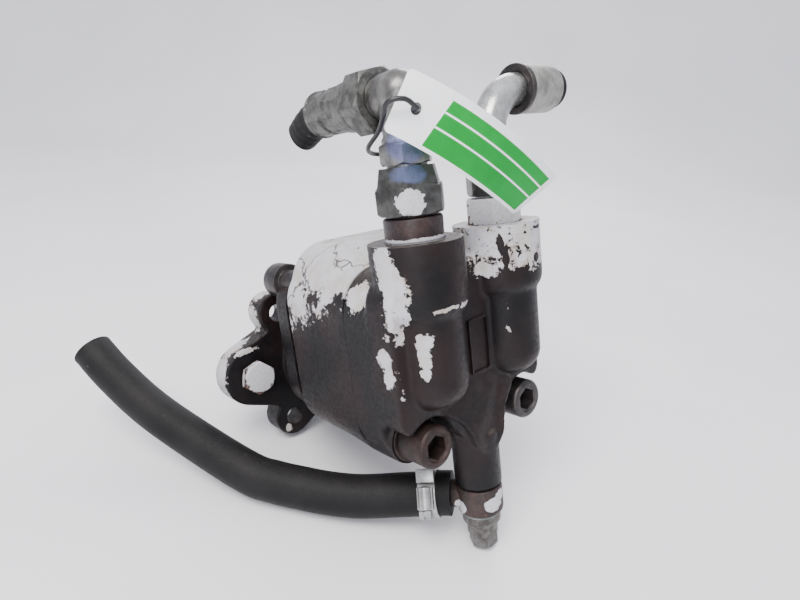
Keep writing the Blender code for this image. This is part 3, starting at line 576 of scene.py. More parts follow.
def painted(name, paint_field, grey, shift, stain, crazed=0.0, dust=0.25):
    """Cast iron with what is left of a light coat of paint.

    paint_field gets the look and returns a field that is above 0 where the paint is left."""
    look = Look(name)
    colour, rough, grain = iron(look, shift, grey)
    ragged = look.minus(look.noise(4.2, 10, 0.76, shift + 11), 0.5)
    pits = look.patches(0.70, 0.74, 1.7, 3, 0.5, shift + 5)
    field = look.plus(paint_field(look), look.times(ragged, 1.3))
    field = look.plus(field, look.times(look.flakes(2.6, shift), 0.34))
    left = look.step(field, -0.012, 0.012)
    left = look.without(left, look.times(pits, 0.85))
    rim = look.times(look.step(field, 0.10, 0.0), look.patches(0.45, 0.6, 3.0, 5, 0.7, 31))
    coat = look.mix(look.patches(0.35, 0.7, 14, 5, 0.6, shift + 17), PAINT, OLD_PAINT)
    speckle = look.patches(0.60, 0.70, 1.1, 4, 0.7, shift + 23)
    coat = look.mix(look.times(speckle, 0.30), coat, (0.20, 0.17, 0.15))
    coat = look.mix(look.times(rim, 0.55), coat, (0.30, 0.20, 0.12))
    runs = look.patches(0.53, 0.68, 9, 5, 0.65, shift + 29, (1, 1, 3.2))
    coat = look.mix(look.times(runs, stain), coat, RUST)
    if crazed:
        lines = look.times(look.cracks(26, 1.1, 4.0),
                          look.patches(0.44, 0.50, 30, 3, 0.5, 41))
        left = look.without(left, look.times(lines, crazed))
    dusty = look.times(look.step(look.facing((0, 0, 1)), 0.35, 0.95), dust)
    colour = look.mix(look.times(dusty, look.patches(0.35, 0.7, 6, 6, 0.7, 53)),
                      colour, (0.15, 0.125, 0.10))
    worn = look.times(look.edges(), look.patches(0.45, 0.6, 8, 4, 0.6, 61))
    colour = look.mix(look.times(worn, 0.35), colour, (0.09, 0.08, 0.078))
    look.set(Base_Color=look.mix(left, colour, coat), Roughness=look.blend(left, rough, 0.55),
             Specular_IOR_Level=0.22)
    look.bump((look.noise(0.9, 5, 0.65, shift), 0.10, 0.5), (grain, 0.25, 0.35), (left, 0.22, 0.8))
    return look.material


def steel(name, base, other, rough, rust, size, shift, metallic, grime, painted_sheen=None, paint=None,
          grain=None):
    """Weathered steel or zinc: two tones, rust in patches, grime, an optional painted reflection and
    chips of paint.
    """
    look = Look(name)
    tone = look.noise(size, 5, 0.6, shift)
    fine = look.noise(1.2, 5, 0.7, shift + 2)
    colour = look.mix(look.step(tone, 0.38, 0.64), base, other)
    # Painted reflection: a bluish sheen painted into the colour as a blob on one side of the part.
    if painted_sheen:
        where, radii, shade = painted_sheen
        field = look.step(look.blobs(look.wobble(3.0, 9.0, shift), [(where, radii)]), 0.0, 0.35)
        colour = look.mix(look.times(field, 0.75), colour, shade)
    rusted = look.patches(0.72 - 0.22 * rust, 0.80 - 0.22 * rust, size * 0.8, 7, 0.72, shift + 13)
    colour = look.mix(rusted, colour, look.mix(look.step(fine, 0.4, 0.6), RUST_DARK, RUST))
    dirty = look.times(look.patches(0.48, 0.66, 3.5, 7, 0.72, shift + 19), grime)
    colour = look.mix(dirty, colour, (0.035, 0.030, 0.026))
    metal = look.without(metallic, look.math('MAXIMUM', rusted, dirty))
    roughness = look.blend(look.math('MAXIMUM', rusted, fine), *rough)
    height = fine
    if paint:
        ragged = look.minus(look.noise(4.0, 7, 0.68, shift + 37), 0.5)
        field = look.plus(look.blobs(look.place, paint), look.times(ragged, 1.1))
        left = look.step(field, -0.01, 0.01)
        coat = look.mix(look.patches(0.45, 0.7, 2.2, 5, 0.6, shift + 3), PAINT, OLD_PAINT)
        colour = look.mix(left, colour, coat)
        metal = look.without(metal, left)
        roughness = look.blend(left, roughness, 0.55)
        height = look.plus(fine, left)
    look.set(Base_Color=colour, Metallic=metal, Roughness=roughness)
    layers = [(height, 0.12, 0.55)]
    if grain:
        layers.append((look.noise(1.0, 2, 0.5, 3, grain), 0.05, 0.3))
    look.bump(*layers)
    return look.material


def rubber(name, dust, weave=0.0):
    """Black hose rubber: dusty, scuffed, with faint marks of the cloth that it was cured in."""
    look = Look(name)
    broad = look.noise(30, 5, 0.6, 2)
    fine = look.noise(1.6, 6, 0.7, 5)
    colour = look.mix(look.step(broad, 0.35, 0.7), (0.0052, 0.0047, 0.0050), (0.0105, 0.0095, 0.0098))
    up = look.times(look.step(look.facing((0, 0, 1)), 0.0, 0.9), dust)
    colour = look.mix(look.times(up, look.step(fine, 0.35, 0.7)), colour, (0.036, 0.033, 0.033))
    marks = look.patches(0.68, 0.72, 7, 7, 0.72, 21, (1, 2.5, 1))
    colour = look.mix(look.times(marks, 0.5), colour, (0.15, 0.14, 0.13))
    look.set(Base_Color=colour, Roughness=look.blend(fine, 0.46, 0.72), Specular_IOR_Level=0.2)
    look.bump((fine, 0.12, 0.5), (look.noise(1.2, 2, 0.4, 9, (1, 4, 1)), 0.25, weave))
    return look.material


# ---- castings

BODY_Z = 137.0
PORT_TOP = 216.0
PORT_X = {"left": -33.0, "right": 36.5}
SCREW_X = {"left": -42.0, "right": 44.5}
SCREW_LOW_Z, SCREW_HIGH_Z = 92.0, 182.0
SCREW_HOLE_R, SCREW_PAD_R, BOLT_HOLE_R, DRAIN_HOLE_R = 9.3, 17.2, 7.2, 6.8
PORT_BOSS_R, PORT_HOLE_R, GALLERY_R, GALLERY_Y = 27.8, 16.7, 21.8, -2.5
CHAMBER_R, CHAMBER_BACK = 28.5, 130


def cover_outline():
    """Square shoulders, and a lobe down to the drain between two scallops for the screw heads."""
    side, low = 63.5, 104.0
    halves = []
    for screw_x in (SCREW_X["right"], -SCREW_X["left"]):
        half = arc((0, 97.0), 19.0, -90, -28, 14)
        half += arc((screw_x, SCREW_LOW_Z), 18.0, 150, 62, 14)
        half += arc((side - 9, low + 9), 9, -70, 0, 8)
        halves.append(half + arc((side - 20, BODY_Z + 42.5), 20, 0, 90, 12))
    return halves[0] + [(-x, z) for x, z in reversed(halves[1]) if x > 1e-6]


def apron():
    """A fan that thickens the face down to the drain boss; its front slopes back into the face."""
    outline = arc((0, 88), 14.0, -180, 0, 16) + [(19, 98), (30, 108), (31, 118), (24, 126)]
    outline += [(-x, z) for x, z in reversed(outline[-4:])]
    fan = plate(outline, -15.9, -4)
    for vert in fan.vertices:
        if vert.co.y < -7 * MM:
            vert.co.y += max(0.0, vert.co.z - 88 * MM) * 0.25
    return fan


def end_cover():
    solids = [plate(rounded_rectangle((0, BODY_Z), 63.0, 62.5, 30), 15, 43),
              plate(cover_outline(), -7.0, 16),
              cylinder(15.8, 45, 86, (0, 0)),
              apron(), ellipsoid((18, 12, 22), (0, 2, 92))]
    for side in PORT_X:
        px, sx = PORT_X[side], SCREW_X[side]
        solids += [cylinder(SCREW_PAD_R, 12, 43, (sx, SCREW_LOW_Z), 'Y'),
                   cylinder(GALLERY_R, 131, 183, (px, GALLERY_Y)),
                   ellipsoid((GALLERY_R, GALLERY_R, 17), (px, GALLERY_Y, 131)),
                   cylinder(PORT_BOSS_R, 181, 220, (px, 0)),
                   ellipsoid((PORT_BOSS_R, PORT_BOSS_R, 16), (px, 0, 181))]
    body = cast(solids, 1.1, 14)
    pad_at = (4.0, 143.0)
    rim = carved(plate(rounded_rectangle(pad_at, 8.5, 18.0, 1.5, 4), -8.6, -5),
                 plate(rounded_rectangle(pad_at, 7.4, 16.9, 1.0, 4), -9, -4))
    tools = [box((-80, -80, PORT_TOP), (80, 80, 240)), box((-80, 40, 0), (80, 80, 260)),
             box((-30, -30, 30), (30, 30, 48.5))]
    for side, sx in SCREW_X.items():
        tools += [cylinder(16.5, -30, 15, (sx, SCREW_LOW_Z), 'Y'),
                  cylinder(SCREW_HOLE_R, 14, 44, (sx, SCREW_LOW_Z), 'Y', ROUND),
                  cylinder(SCREW_HOLE_R, 22, 44, (sx, SCREW_HIGH_Z), 'Y', ROUND),
                  cylinder(PORT_HOLE_R, 190, PORT_TOP + 1, (PORT_X[side], 0)),
                  cylinder(17.0, PORT_TOP - 1.0, PORT_TOP + 1, (PORT_X[side], 0), end_radius=19.5)]
    tools.append(cylinder(DRAIN_HOLE_R, 44, 74, (0, 0), sides=ROUND))
    return joined(carved(body, *tools), rim)


def cover_paint(look):
    """Patches left on the left boss and gallery; most of the right boss and the right edge."""
    place = look.wobble(2.6, 7.0, 1.5)
    left = look.blobs(place, [
        ((-60, -3, 206), (9, 8, 11)), ((-60, -7, 197), (9, 9, 10)), ((-60, -9, 188), (8, 8.5, 10)),
        ((-60, -9, 178), (7, 8, 9)), ((-58, -3, 167), (5, 6, 8)), ((-62, 3, 152), (5, 7, 6)),
        ((-61, 0, 142), (5, 5.5, 9)), ((-60, -3, 131), (3, 3.5, 8)), ((-49, -17, 162), (7, 5, 4)),
        ((-50, -17, 153), (3.5, 4, 8)), ((-50, -17, 143), (2.4, 4, 4)), ((-12, -18, 203), (4, 4, 14)),
        ((-12, -18, 186), (3, 4, 10)), ((-34, -23, 179), (14, 5, 2.2)), ((-13, -15, 168), (2.5, 4, 10)),
        ((-60, 28, 190), (8, 12, 14))])
    right = look.blobs(place, [
        ((36.5, 0, 208), (36, 36, 22)), ((40, -4, 194), (31, 31, 9)), ((60, 2, 178), (9, 16, 14)),
        ((56, -12, 168), (5, 7, 10)), ((56, -12, 150), (4, 6, 12)), ((62, -4, 128), (4, 6, 12)),
        ((20, -20, 165), (1.6, 3, 4)), ((20, -20, 152), (1.8, 3, 5)), ((12, -12, 190), (9, 8, 5))])
    worn = look.blobs(look.wobble(1.6, 4.0, 9.0), [
        ((17, -20, 205), (1.8, 4, 7)), ((19, -21.5, 196), (1.9, 4, 8)), ((41, -27.4, 193), (3.6, 5, 3.2)),
        ((26, -26, 187), (4, 5, 2.2)), ((44, -26, 212), (5, 4, 1.2))])
    speckle = look.times(look.patches(0.56, 0.70, 2.4, 5, 0.7, 77), 0.5)
    right = look.minus(right, look.plus(speckle, look.step(worn, -0.05, 0.25)))
    return look.math('MAXIMUM', left, right)


def gear_housing():
    solids = [plate(rounded_rectangle((0, BODY_Z), 63.0, 62.5, 28), 38, 112, 0.985, (0, BODY_Z)),
              plate(rounded_rectangle((0, BODY_Z), 62.0, 61.5, 28), 111, 122, 0.90, (0, BODY_Z))]
    crown_at, crown, front = (0, 165), (57, 47, 30), 0.745
    small = (size * front for size in crown)
    solids += [plate(rounded_rectangle(crown_at, *small), 44, 62.5, 1 / front, crown_at),
               plate(rounded_rectangle(crown_at, *crown), 62, 110),
               plate(rounded_rectangle(crown_at, *crown), 109.5, 122.5, 0.85, crown_at)]
    for sx in SCREW_X.values():
        solids.append(cylinder(SCREW_PAD_R, 38, 112, (sx, SCREW_LOW_Z), 'Y', end_radius=12))
    body = cast(solids, 1.2, 10)
    tools = [box((-80, 20, 0), (80, 40.3, 260)),
             cylinder(CHAMBER_R, 30, CHAMBER_BACK, (0, SHAFT_Z), 'Y'),
             cylinder(CHAMBER_R, 30, CHAMBER_BACK, (0, IDLER_Z), 'Y')]
    tools += [cylinder(SCREW_HOLE_R, 30, 130, (sx, level), 'Y', ROUND)
              for sx in SCREW_X.values() for level in (SCREW_LOW_Z, SCREW_HIGH_Z)]
    return carved(body, *tools)


def housing_paint(look):
    """Painted on top, worn through in a ragged line that comes down towards the flange."""
    place = look.wobble(6.0, 22.0, 3.0)
    line = look.math('MULTIPLY_ADD', look.axis(1, place), -0.34, 194.0)
    field = look.math('DIVIDE', look.minus(look.axis(2, place), line), 26.0)
    holes = look.patches(0.50, 0.62, 13, 7, 0.70, 44)
    lower = look.step(look.axis(2), 199.0, 180.0)
    return look.minus(field, look.times(look.times(holes, lower), 1.1))


EAR_X, FOOT_STEP = 73.0, 44.9
HUB_FRONT, HUB_BACK, FLANGE_FRONT, FLANGE_BACK, PILOT_BACK = 124.3, 141.0, 164.0, 184.0, 193.5


def mounting_flange():
    centre = (0, SHAFT_Z)
    ears = hull([(-EAR_X, SHAFT_Z, 24.0), (EAR_X, SHAFT_Z, 24.0), (0, SHAFT_Z, 50.0)])
    solids = [plate(ears, FLANGE_FRONT, FLANGE_BACK + 2),
              cylinder(46, HUB_BACK - 3, FLANGE_FRONT + 3, centre, 'Y'),
              plate(rounded_rectangle((0, BODY_Z - 2), 57, 56, 27), HUB_FRONT - 2, HUB_BACK),
              plate(rounded_rectangle((0, IDLER_Z), 26, 20, 12), HUB_BACK - 3, FLANGE_FRONT + 2)]
    for sx, sz in ((-1, -1), (1, -1), (-1, 1), (1, 1)):
        at = (sx * FOOT_STEP, SHAFT_Z + sz * FOOT_STEP)
        solids.append(plate(hull([(*at, 16.0), (sx * 12, SHAFT_Z + sz * 12, 28)]), FLANGE_FRONT,
                            FLANGE_BACK + 2))
    body = cast(solids, 1.2, 9)
    body = carved(body, box((-120, FLANGE_BACK, 0), (120, 220, 260)),
                  box((-120, 100, 0), (120, HUB_FRONT, 260)))
    body = joined(body, edged(cylinder(50.8, FLANGE_BACK - 4, PILOT_BACK, centre, 'Y', 96), 0.8))
    holes = [cylinder(14.0, HUB_FRONT - 1, PILOT_BACK + 1, centre, 'Y'),
             cylinder(22.0, PILOT_BACK - 15, PILOT_BACK + 1, centre, 'Y')]
    for side in (-1, 1):
        holes.append(cylinder(BOLT_HOLE_R, 160, 186, (side * EAR_X, SHAFT_Z), 'Y', ROUND))
        for level in (-1, 1):
            at = (side * FOOT_STEP, SHAFT_Z + level * FOOT_STEP)
            holes.append(cylinder(BOLT_HOLE_R, HUB_BACK + 1, 186, at, 'Y', ROUND))
    for sx in SCREW_X.values():
        holes.append(cylinder(SCREW_HOLE_R, HUB_FRONT - 1, HUB_FRONT + 13, (sx, SCREW_LOW_Z), 'Y', ROUND))
        holes.append(cylinder(SCREW_HOLE_R, HUB_FRONT - 1, HUB_BACK + 1, (sx, SCREW_HIGH_Z), 'Y', ROUND))
    return carved(body, *holes)


def flange_paint(look):
    """Paint is left on the rim of the flange and in a few scratches on its front."""
    place = look.wobble(2.0, 8.0, 6.0)
    return look.blobs(place, [
        ((-97, 176, 122), (8, 11, 26)), ((-84, 178, 138), (16, 9, 12)), ((-62, 178, 152), (16, 9, 10)),
        ((-97, 176, 98), (7, 11, 16)), ((-80, 163, 132), (12, 4, 3)), ((-40, 178, 168), (18, 9, 12)),
        ((-52, 163, 57), (3, 3, 4)), ((0, 178, 166), (30, 10, 10))])


COVER_LOOK = painted("cover_iron_paint", cover_paint, 0.35, 0.0, 0.35, dust=0.45)
HOUSING_LOOK = painted("housing_iron_paint", housing_paint, 0.55, 4.0, 0.10, crazed=0.9)
FLANGE_LOOK = painted("flange_iron_paint", flange_paint, 0.25, 9.0, 0.10)

show("cover_casting", end_cover(), COVER_LOOK, "end_cover")
show("housing_casting", gear_housing(), HOUSING_LOOK, "gear_housing")
show("flange_casting", mounting_flange(), FLANGE_LOOK, "mounting_flange")


# ---- screws, bolts and shaft

RUSTY_SCREW = steel(
    "rusty_screw_steel", (0.034, 0.019, 0.016), (0.017, 0.011, 0.010), (0.42, 0.66), 0.40, 7, 2.0, 0.55,
    0.35)
DARK_STEEL = steel(
    "dark_screw_steel", (0.030, 0.028, 0.030), (0.060, 0.052, 0.050), (0.25, 0.5), 0.15, 7, 8.0, 0.7,
    0.4)
GROUND_STEEL = steel(
    "ground_shaft_steel", (0.42, 0.42, 0.43), (0.32, 0.31, 0.30), (0.2, 0.36), 0.05, 12, 5.0, 1.0, 0.12,
    grain=(8, 1, 8))
PAINTED_BOLT = steel(
    "painted_bolt_steel", (0.16, 0.10, 0.07), (0.09, 0.06, 0.05), (0.4, 0.6), 0.6, 6, 3.0, 0.75, 0.3,
    paint=[((1, 154, 2), (13, 8, 13)), ((0, 160, 0), (14, 3, 14))])


def socket_screw(name, x, z, head_at, head, tip_at, look):
    """A cap screw along Y, its head starting at head_at and head long."""
    way = 1 if tip_at > head_at else -1
    length = abs(tip_at - head_at)
    profile = rounded([(0, 0), (11.9, 0), (13.5, 1.6), (13.5, head), (9.0, head), (9.0, length),
                       (0, length)], 0.8, 3)
    hollow = [(0, 2.0), (8.4, 1.0), (9.6, -0.5), (0, -0.5)]
    body = lathe([(r, head_at + way * h) for r, h in profile], axis='Y')
    dish = lathe([(r, head_at + way * h) for r, h in hollow], axis='Y', sides=ROUND)
    socket = hexagon(14.0, *sorted((head_at - way, head_at + way * 12)), 'Y')
    show(name, moved(carved(body, dish, socket), x, 0, z), look, name)


def screws_and_washers():
    low_head, high_head = 22.0, 18.0
    washer_front = 11.7
    low_at = washer_front - 0.3 - low_head
    high_at = HUB_BACK + 0.3 + high_head
    for side, look, slot in (("left", RUSTY_SCREW, "rusty_screw"), ("right", DARK_STEEL, "dark_steel")):
        x = SCREW_X[side]
        socket_screw("cover_screw_" + side, x, SCREW_LOW_Z, low_at, low_head, HUB_FRONT + 11, look)
        washer = ring(SCREW_HOLE_R, 15.5, washer_front, 14.7, 0.6, 3, (x, 0, SCREW_LOW_Z), 'Y')
        show("cover_screw_washer_" + side, washer, look, "cover_screw_washer_" + side)
        socket_screw("flange_side_screw_" + side, x, SCREW_HIGH_Z, high_at, high_head, 24, DARK_STEEL)


def flange_bolt():
    head = chamfered_hexagon(23.0, FLANGE_FRONT - 9.8, FLANGE_FRONT - 1.4, 'Y', math.radians(12))
    face = cylinder(11.2, FLANGE_FRONT - 2, FLANGE_FRONT - 0.3, axis='Y')
    thread = [(0, FLANGE_FRONT - 1), (6.9, FLANGE_FRONT - 1), (6.9, FLANGE_BACK + 1)]
    turns = 10
    for i in range(turns):
        start = FLANGE_BACK + 1 + i * 12.0 / turns
        thread += [(6.2, start + 0.3), (6.9, start + 0.9)]
    thread += [(5.4, FLANGE_BACK + 14), (0, FLANGE_BACK + 14)]
    body = joined(edged(head, 0.4), face, lathe(thread, axis='Y', sides=ROUND))
    piece_at = BENCH @ Matrix.Translation(Vector((-EAR_X, 0, SHAFT_Z)) * MM)
    show("flange_bolt", body, PAINTED_BOLT, "flange_bolt_left", matrix=piece_at)


def drive_shaft():
    """The output end with its keyway, and the plain journals behind the gear."""
    shaft = turned(
        [(0, 41.3), (13, 41.3), (13, 128.3), (12.7, 129), (12.7, 228.2), (11, 230), (0, 230)], 0.6, 3,
        (0, 0, SHAFT_Z), 'Y')
    keyway = moved(box((-3.3, 198, 9.1), (3.3, 222, 15)), z=SHAFT_Z)
    gear = frame["nodes"]["drive_gear_shaft"].data.copy()
    gear.transform(BENCH.inverted())
    gear = worked(gear, ('WELD', {"merge_threshold": 0.01 * MM}))
    gear = boolean('INTERSECT', gear, box((-40, 61, 70), (40, 103, 150)))
    show("drive_shaft_end", carved(shaft, keyway), GROUND_STEEL, "drive_gear_shaft",
         "drive_shaft")
    show("drive_gear_teeth", gear, GROUND_STEEL, body="drive_shaft")
    key = moved(edged(box((-3.0, 198.3, 9.4), (3.0, 221.7, 15.2)), 0.5), z=SHAFT_Z)
    show("shaft_key_steel", key, DARK_STEEL, "shaft_key", "drive_shaft")


screws_and_washers()
flange_bolt()
drive_shaft()


# ---- left hose union

DIRTY_ADAPTOR = steel(
    "dirty_adaptor_steel", (0.020, 0.012, 0.013), (0.042, 0.020, 0.018), (0.28, 0.55), 0.35, 9, 1.0,
    0.3, 0.5, paint=[((-33, -2, 217), (21, 21, 2.4)), ((-20, -12, 220), (5, 5, 4))])
# The bluish sheen on the left of the nut's taper is a painted reflection.
UNION_NUT = steel(
    "union_nut_steel", (0.092, 0.092, 0.088), (0.044, 0.043, 0.042), (0.25, 0.5), 0.10, 9, 6.0, 0.75,
    0.35, painted_sheen=((-42, -12, 253), (9, 14, 7), (0.15, 0.18, 0.34)),
    paint=[((-45, -13, 238), (8, 8, 7.5))])
# The bluish sheen on the left of the elbow's collar is a painted reflection.
ELBOW_ZINC = steel(
    "elbow_zinc", (0.25, 0.25, 0.235), (0.13, 0.125, 0.12), (0.22, 0.45), 0.16, 11, 12.0, 0.88, 0.5,
    painted_sheen=((-40, -10, 270), (12, 15, 14), (0.20, 0.22, 0.42)))
GRIMY_ZINC = steel(
    "grimy_zinc", (0.155, 0.155, 0.145), (0.065, 0.064, 0.060), (0.30, 0.6), 0.10, 7, 17.0, 0.75, 0.7)
HOSE_RUBBER = rubber("hose_rubber", 0.3, 0.25)
STUB_RUBBER = rubber("stub_rubber", 0.9, 0.9)
LEFT_TURN = math.radians(12)


def left_union():
    x, top, level = PORT_X["left"], PORT_TOP + 0.3, 295.0
    adaptor = turned(
        [(0, 244), (11.4, 244), (11.4, 231), (14.0, 230.5), (14.0, 229.8), (16.4, 229.6), (17.2, 228.6),
         (17.2, top + 0.6), (16.8, top), (16.4, top), (16.4, 192), (0, 192)], 0.5, 2, (x, 0, 0))
    show("left_adaptor", adaptor, DIRTY_ADAPTOR, "port_adaptor_left")
    nut = chamfered_hexagon(36.0, 231.0, 247.0, turn=LEFT_TURN)
    taper = hexagon(33.5, 246.5, 257.0, turn=LEFT_TURN, end_flats=29.5)
    nut = edged(carved(joined(nut, taper), cylinder(12.0, 230, 260, sides=ROUND)), 0.6)
    show("left_union_nut_steel", moved(nut, x), UNION_NUT, "union_nut_left",
         "left_union_nut")
    collar = edged(chamfered_hexagon(27.0, 258.2, 269.8, turn=LEFT_TURN), 0.5)
    stem = lathe([(0, 244.3), (11.5, 244.3), (11.5, 258.5), (12.6, 270), (12.9, 271.5), (11.5, 274),
                  (11.5, 283), (0, 283)])
    bend = cast(
        [cylinder(11.5, 274, level, end_radius=12.8), ellipsoid((13.2, 13.2, 13.2), (0, 0, level)),
        cylinder(12.9, 0, 12, (0, level), 'Y'), cylinder(12.2, 11, 17, (0, level), 'Y')], 0.7, 8)
    bend = carved(bend, box((-20, 15.0, 270), (20, 40, 320)))
    show("left_elbow", moved(joined(bend, stem, collar), x), ELBOW_ZINC, "elbow_left")
    nut = chamfered_hexagon(34.0, 15.6, 32.0, 'Y', math.radians(20))
    nut = edged(carved(nut, cylinder(11.4, 14, 34, axis='Y')), 0.6)
    show("left_swivel_nut_zinc", moved(nut, x, 0, level), GRIMY_ZINC, "swivel_nut_left",
         "left_swivel_nut")
    insert = turned(
        [(0, 40), (15.5, 40), (15.5, 35.5), (14.5, 33), (11.0, 33), (11.0, 15.3), (0, 15.3)], 0.6, 2,
        (x, 0, level), 'Y')
    show("left_hose_insert", insert, GRIMY_ZINC, "hose_insert_left")

    def crimped(radius, angle, height):
        """Eight crimping flats with narrow ridges between them, over the middle of the ferrule."""
        if radius < 13 or not 46 < height < 76:
            return radius
        phase = (angle * 8 / (2 * math.pi)) % 1.0
        ridge = max(0.0, 1.0 - abs(phase - 0.5) / 0.08)
        return min(radius, radius - 1.1 + 0.7 * ridge + 1.2 * abs(phase - 0.5) ** 2)

    outer = [(15.0, 40.3), (15.0, 42.5), (14.8, 46.0), (14.6, 47.0)]
    outer += [(14.6 - 0.7 * (abs(y - 61) < 1.2), y) for y in range(48, 76)]
    outer += [(14.6, 76.3), (14.0, 77.4), (13.4, 78.0), (11.8, 78.0), (11.8, 40.3)]
    ferrule = lathe(outer, (x, 0, level), 'Y', 144, crimped)
    show("left_ferrule", ferrule, GRIMY_ZINC, "ferrule_left")
    route = smooth_route([(x, 40.6, level), (x, 62, level), (x, 80, level - 0.5), (x, 92, level - 4),
                          (x, 104, level - 10)], 2)

    def frayed(radius, angle, run):
        """Cloth rings, and an end that was cut with a knife."""
        rings = 0.22 * math.sin(run * 2.2)
        return radius - rings - 0.35 * max(0.0, run - 55) * (0.5 + 0.5 * math.sin(3 * angle)) * 0.3

    stub = sweep(route, 11.2, ROUND, frayed, 6.5, 12)
    show("left_hose_stub", stub, STUB_RUBBER, "hose_stub_left")


left_union()


# ---- right hose union

PAINTED_ADAPTOR = steel(
    "painted_adaptor_steel", (0.12, 0.07, 0.05), (0.07, 0.045, 0.04), (0.4, 0.6), 0.6, 7, 7.0, 0.4,
    0.35, paint=[((36, -4, 226), (22, 22, 15))])
# The bluish sheen on the front of the tube's rise is a painted reflection.
BRIGHT_ZINC = steel(
    "bright_zinc", (0.50, 0.50, 0.49), (0.34, 0.34, 0.33), (0.16, 0.34), 0.02, 16, 3.0, 0.9, 0.22,
    painted_sheen=((34, -8, 262), (12, 14, 16), (0.30, 0.34, 0.46)))
PALE_ZINC = steel(
    "pale_zinc", (0.33, 0.32, 0.30), (0.20, 0.195, 0.18), (0.4, 0.6), 0.10, 9, 15.0, 0.55, 0.25)


def right_union():
    x, top, level, radius = PORT_X["right"], PORT_TOP + 0.3, 297.0, 29.0
    turn = math.radians(8)
    adaptor = edged(chamfered_hexagon(33.0, top, 232.0, turn=turn, both=False), 0.5)
    adaptor = joined(adaptor, cylinder(16.3, 192, top + 1, sides=ROUND),
                     cylinder(9.8, 231, 244, sides=ROUND))
    show("right_adaptor", moved(adaptor, x), PAINTED_ADAPTOR, "port_adaptor_right")
    nut = chamfered_hexagon(30.0, 233.5, 251.0, turn=math.radians(25))
    nut = edged(carved(nut, cylinder(10.9, 232, 252, sides=ROUND)), 0.5)
    show("right_union_nut_steel", moved(nut, x), UNION_NUT, "union_nut_right",
         "right_union_nut")
    route = [(x, 244.3 + 3 * i) for i in range(8)]
    route += arc((x + radius, level - radius), radius, 180, 90, 24)
    route += [(x + radius + run, level) for run in (6, 12, 20, 27)]
    tube = sweep([Vector((along, 0, up)) for along, up in route], 10.5, FINE)
    show("right_tube", tube, BRIGHT_ZINC, "tube_right")
    collar = ring(10.8, 15.8, 64, 68, 0.9, 3, (0, 0, level), 'X')
    show("right_tube_collar", collar, DARK_STEEL, "tube_collar_right")
    ferrule = turned(
        [(13.2, 68.3), (14.9, 68.3), (15.4, 71), (15.4, 95.5), (14.9, 97.4), (13.2, 98)], 0.7, 3,
        (0, 0, level), 'X')
    show("right_ferrule", ferrule, PALE_ZINC, "ferrule_right")
    stub = turned(
        [(10.9, 69), (12.9, 69), (12.9, 104), (6.5, 104), (6.5, 93.5), (10.9, 93.5)], 0.5, 2,
        (0, 0, level), 'X')
    show("right_hose_stub", stub, STUB_RUBBER, "hose_stub_right")


right_union()


# ---- case drain

WASHER_ZINC = steel(
    "washer_zinc", (0.22, 0.245, 0.235), (0.13, 0.145, 0.14), (0.3, 0.5), 0.1, 6, 21.0, 0.6, 0.4)
BANJO_STEEL = steel(
    "banjo_steel", (0.045, 0.026, 0.022), (0.024, 0.016, 0.015), (0.45, 0.7), 0.5, 6, 25.0, 0.35, 0.4,
    paint=[((-3, -15, 36), (7, 6, 5)), ((4, -15, 40), (5, 5, 4)), ((-15, 3, 33), (4, 5, 4.5))])
BOLT_ZINC = steel(
    "drain_bolt_zinc", (0.15, 0.145, 0.14), (0.07, 0.062, 0.056), (0.3, 0.55), 0.5, 6, 29.0, 0.8, 0.6)
CLAMP_STEEL = steel(
    "clamp_steel", (0.46, 0.46, 0.45), (0.33, 0.32, 0.32), (0.22, 0.42), 0.05, 9, 33.0, 0.85, 0.3)
NIPPLE_TURN = math.radians(128.0)
NIPPLE_Z = 36.6


def drain():
    for name, node, radius, low, high in (
            ("drain_washer_top", "drain_washer_upper", 12.0, 46.4, 48.2),
            ("drain_washer_bottom", "drain_washer_lower", 13.5, 24.9, 26.8)):
        show(name, ring(DRAIN_HOLE_R, radius, low, high, 0.4, 2), WASHER_ZINC, node)
    eye = turned([(0, 27.1), (15.1, 27.1), (15.5, 29), (15.5, 44), (15.1, 46.1), (0, 46.1)], 1.2, 3)
    nipple = cylinder(9.0, 8, 18.5, (0, NIPPLE_Z), 'X')
    nipple.transform(Matrix.Rotation(NIPPLE_TURN, 4, 'Z'))
    eye = carved(joined(eye, nipple), cylinder(DRAIN_HOLE_R, 26, 47))
    show("banjo_eye", edged(eye, 0.4), BANJO_STEEL, "banjo_fitting")
    head = edged(chamfered_hexagon(17.0, 0, 9.5, turn=math.radians(30)), 0.4)
    shank = turned(
        [(0, 9), (10.4, 9), (10.4, 18.3), (13.0, 18.9), (13.0, 24.6), (6.5, 24.6), (6.5, 66), (0, 66)],
        0.7, 3)
    show("drain_bolt", joined(head, shank), BOLT_ZINC, "banjo_bolt")


drain()

# The drain hose, in the standing frame: it leaves the nipple in line, comes down to lie on the floor and
# springs up to its cut end
HOSE_R = 15.0
HOSE_ROUTE = ((-37.5, -72.5, 24.5), (-57.5, -52.0, 18.6), (-72.5, -34.0, 16.2), (-86.5, -15.5, 15.6),
              (-98.0, 0.0, 15.9), (-108.5, 16.5, 17.4), (-127.0, 61.0, 25.5), (-146.0, 105.0, 38.5),
              (-159.5, 142.0, 54.5), (-167.5, 167.0, 68.5))
NIPPLE_END = 18.5


def hose_points():
    along = Vector((math.cos(NIPPLE_TURN), math.sin(NIPPLE_TURN), 0))
    root = Vector((0, 0, NIPPLE_Z))
    line = [BENCH @ ((root + along * (NIPPLE_END + reach)) * MM) / MM for reach in (0.3, 9)]
    return line + [Vector(point) for point in HOSE_ROUTE]


def clamp_frame():
    """The clamp's own frame on the hose: X along the hose, Y out through the worm, Z along the worm."""
    start, end = smooth_route(hose_points(), 2.2 * HOSE_R)[2:4]
    along = (end - start).normalized()
    out = Vector((0, 0, 1)).cross(along).normalized()
    out = Matrix.Rotation(math.radians(38), 3, along) @ out
    return axes((start + end) / 2 * MM, along, out, along.cross(out))


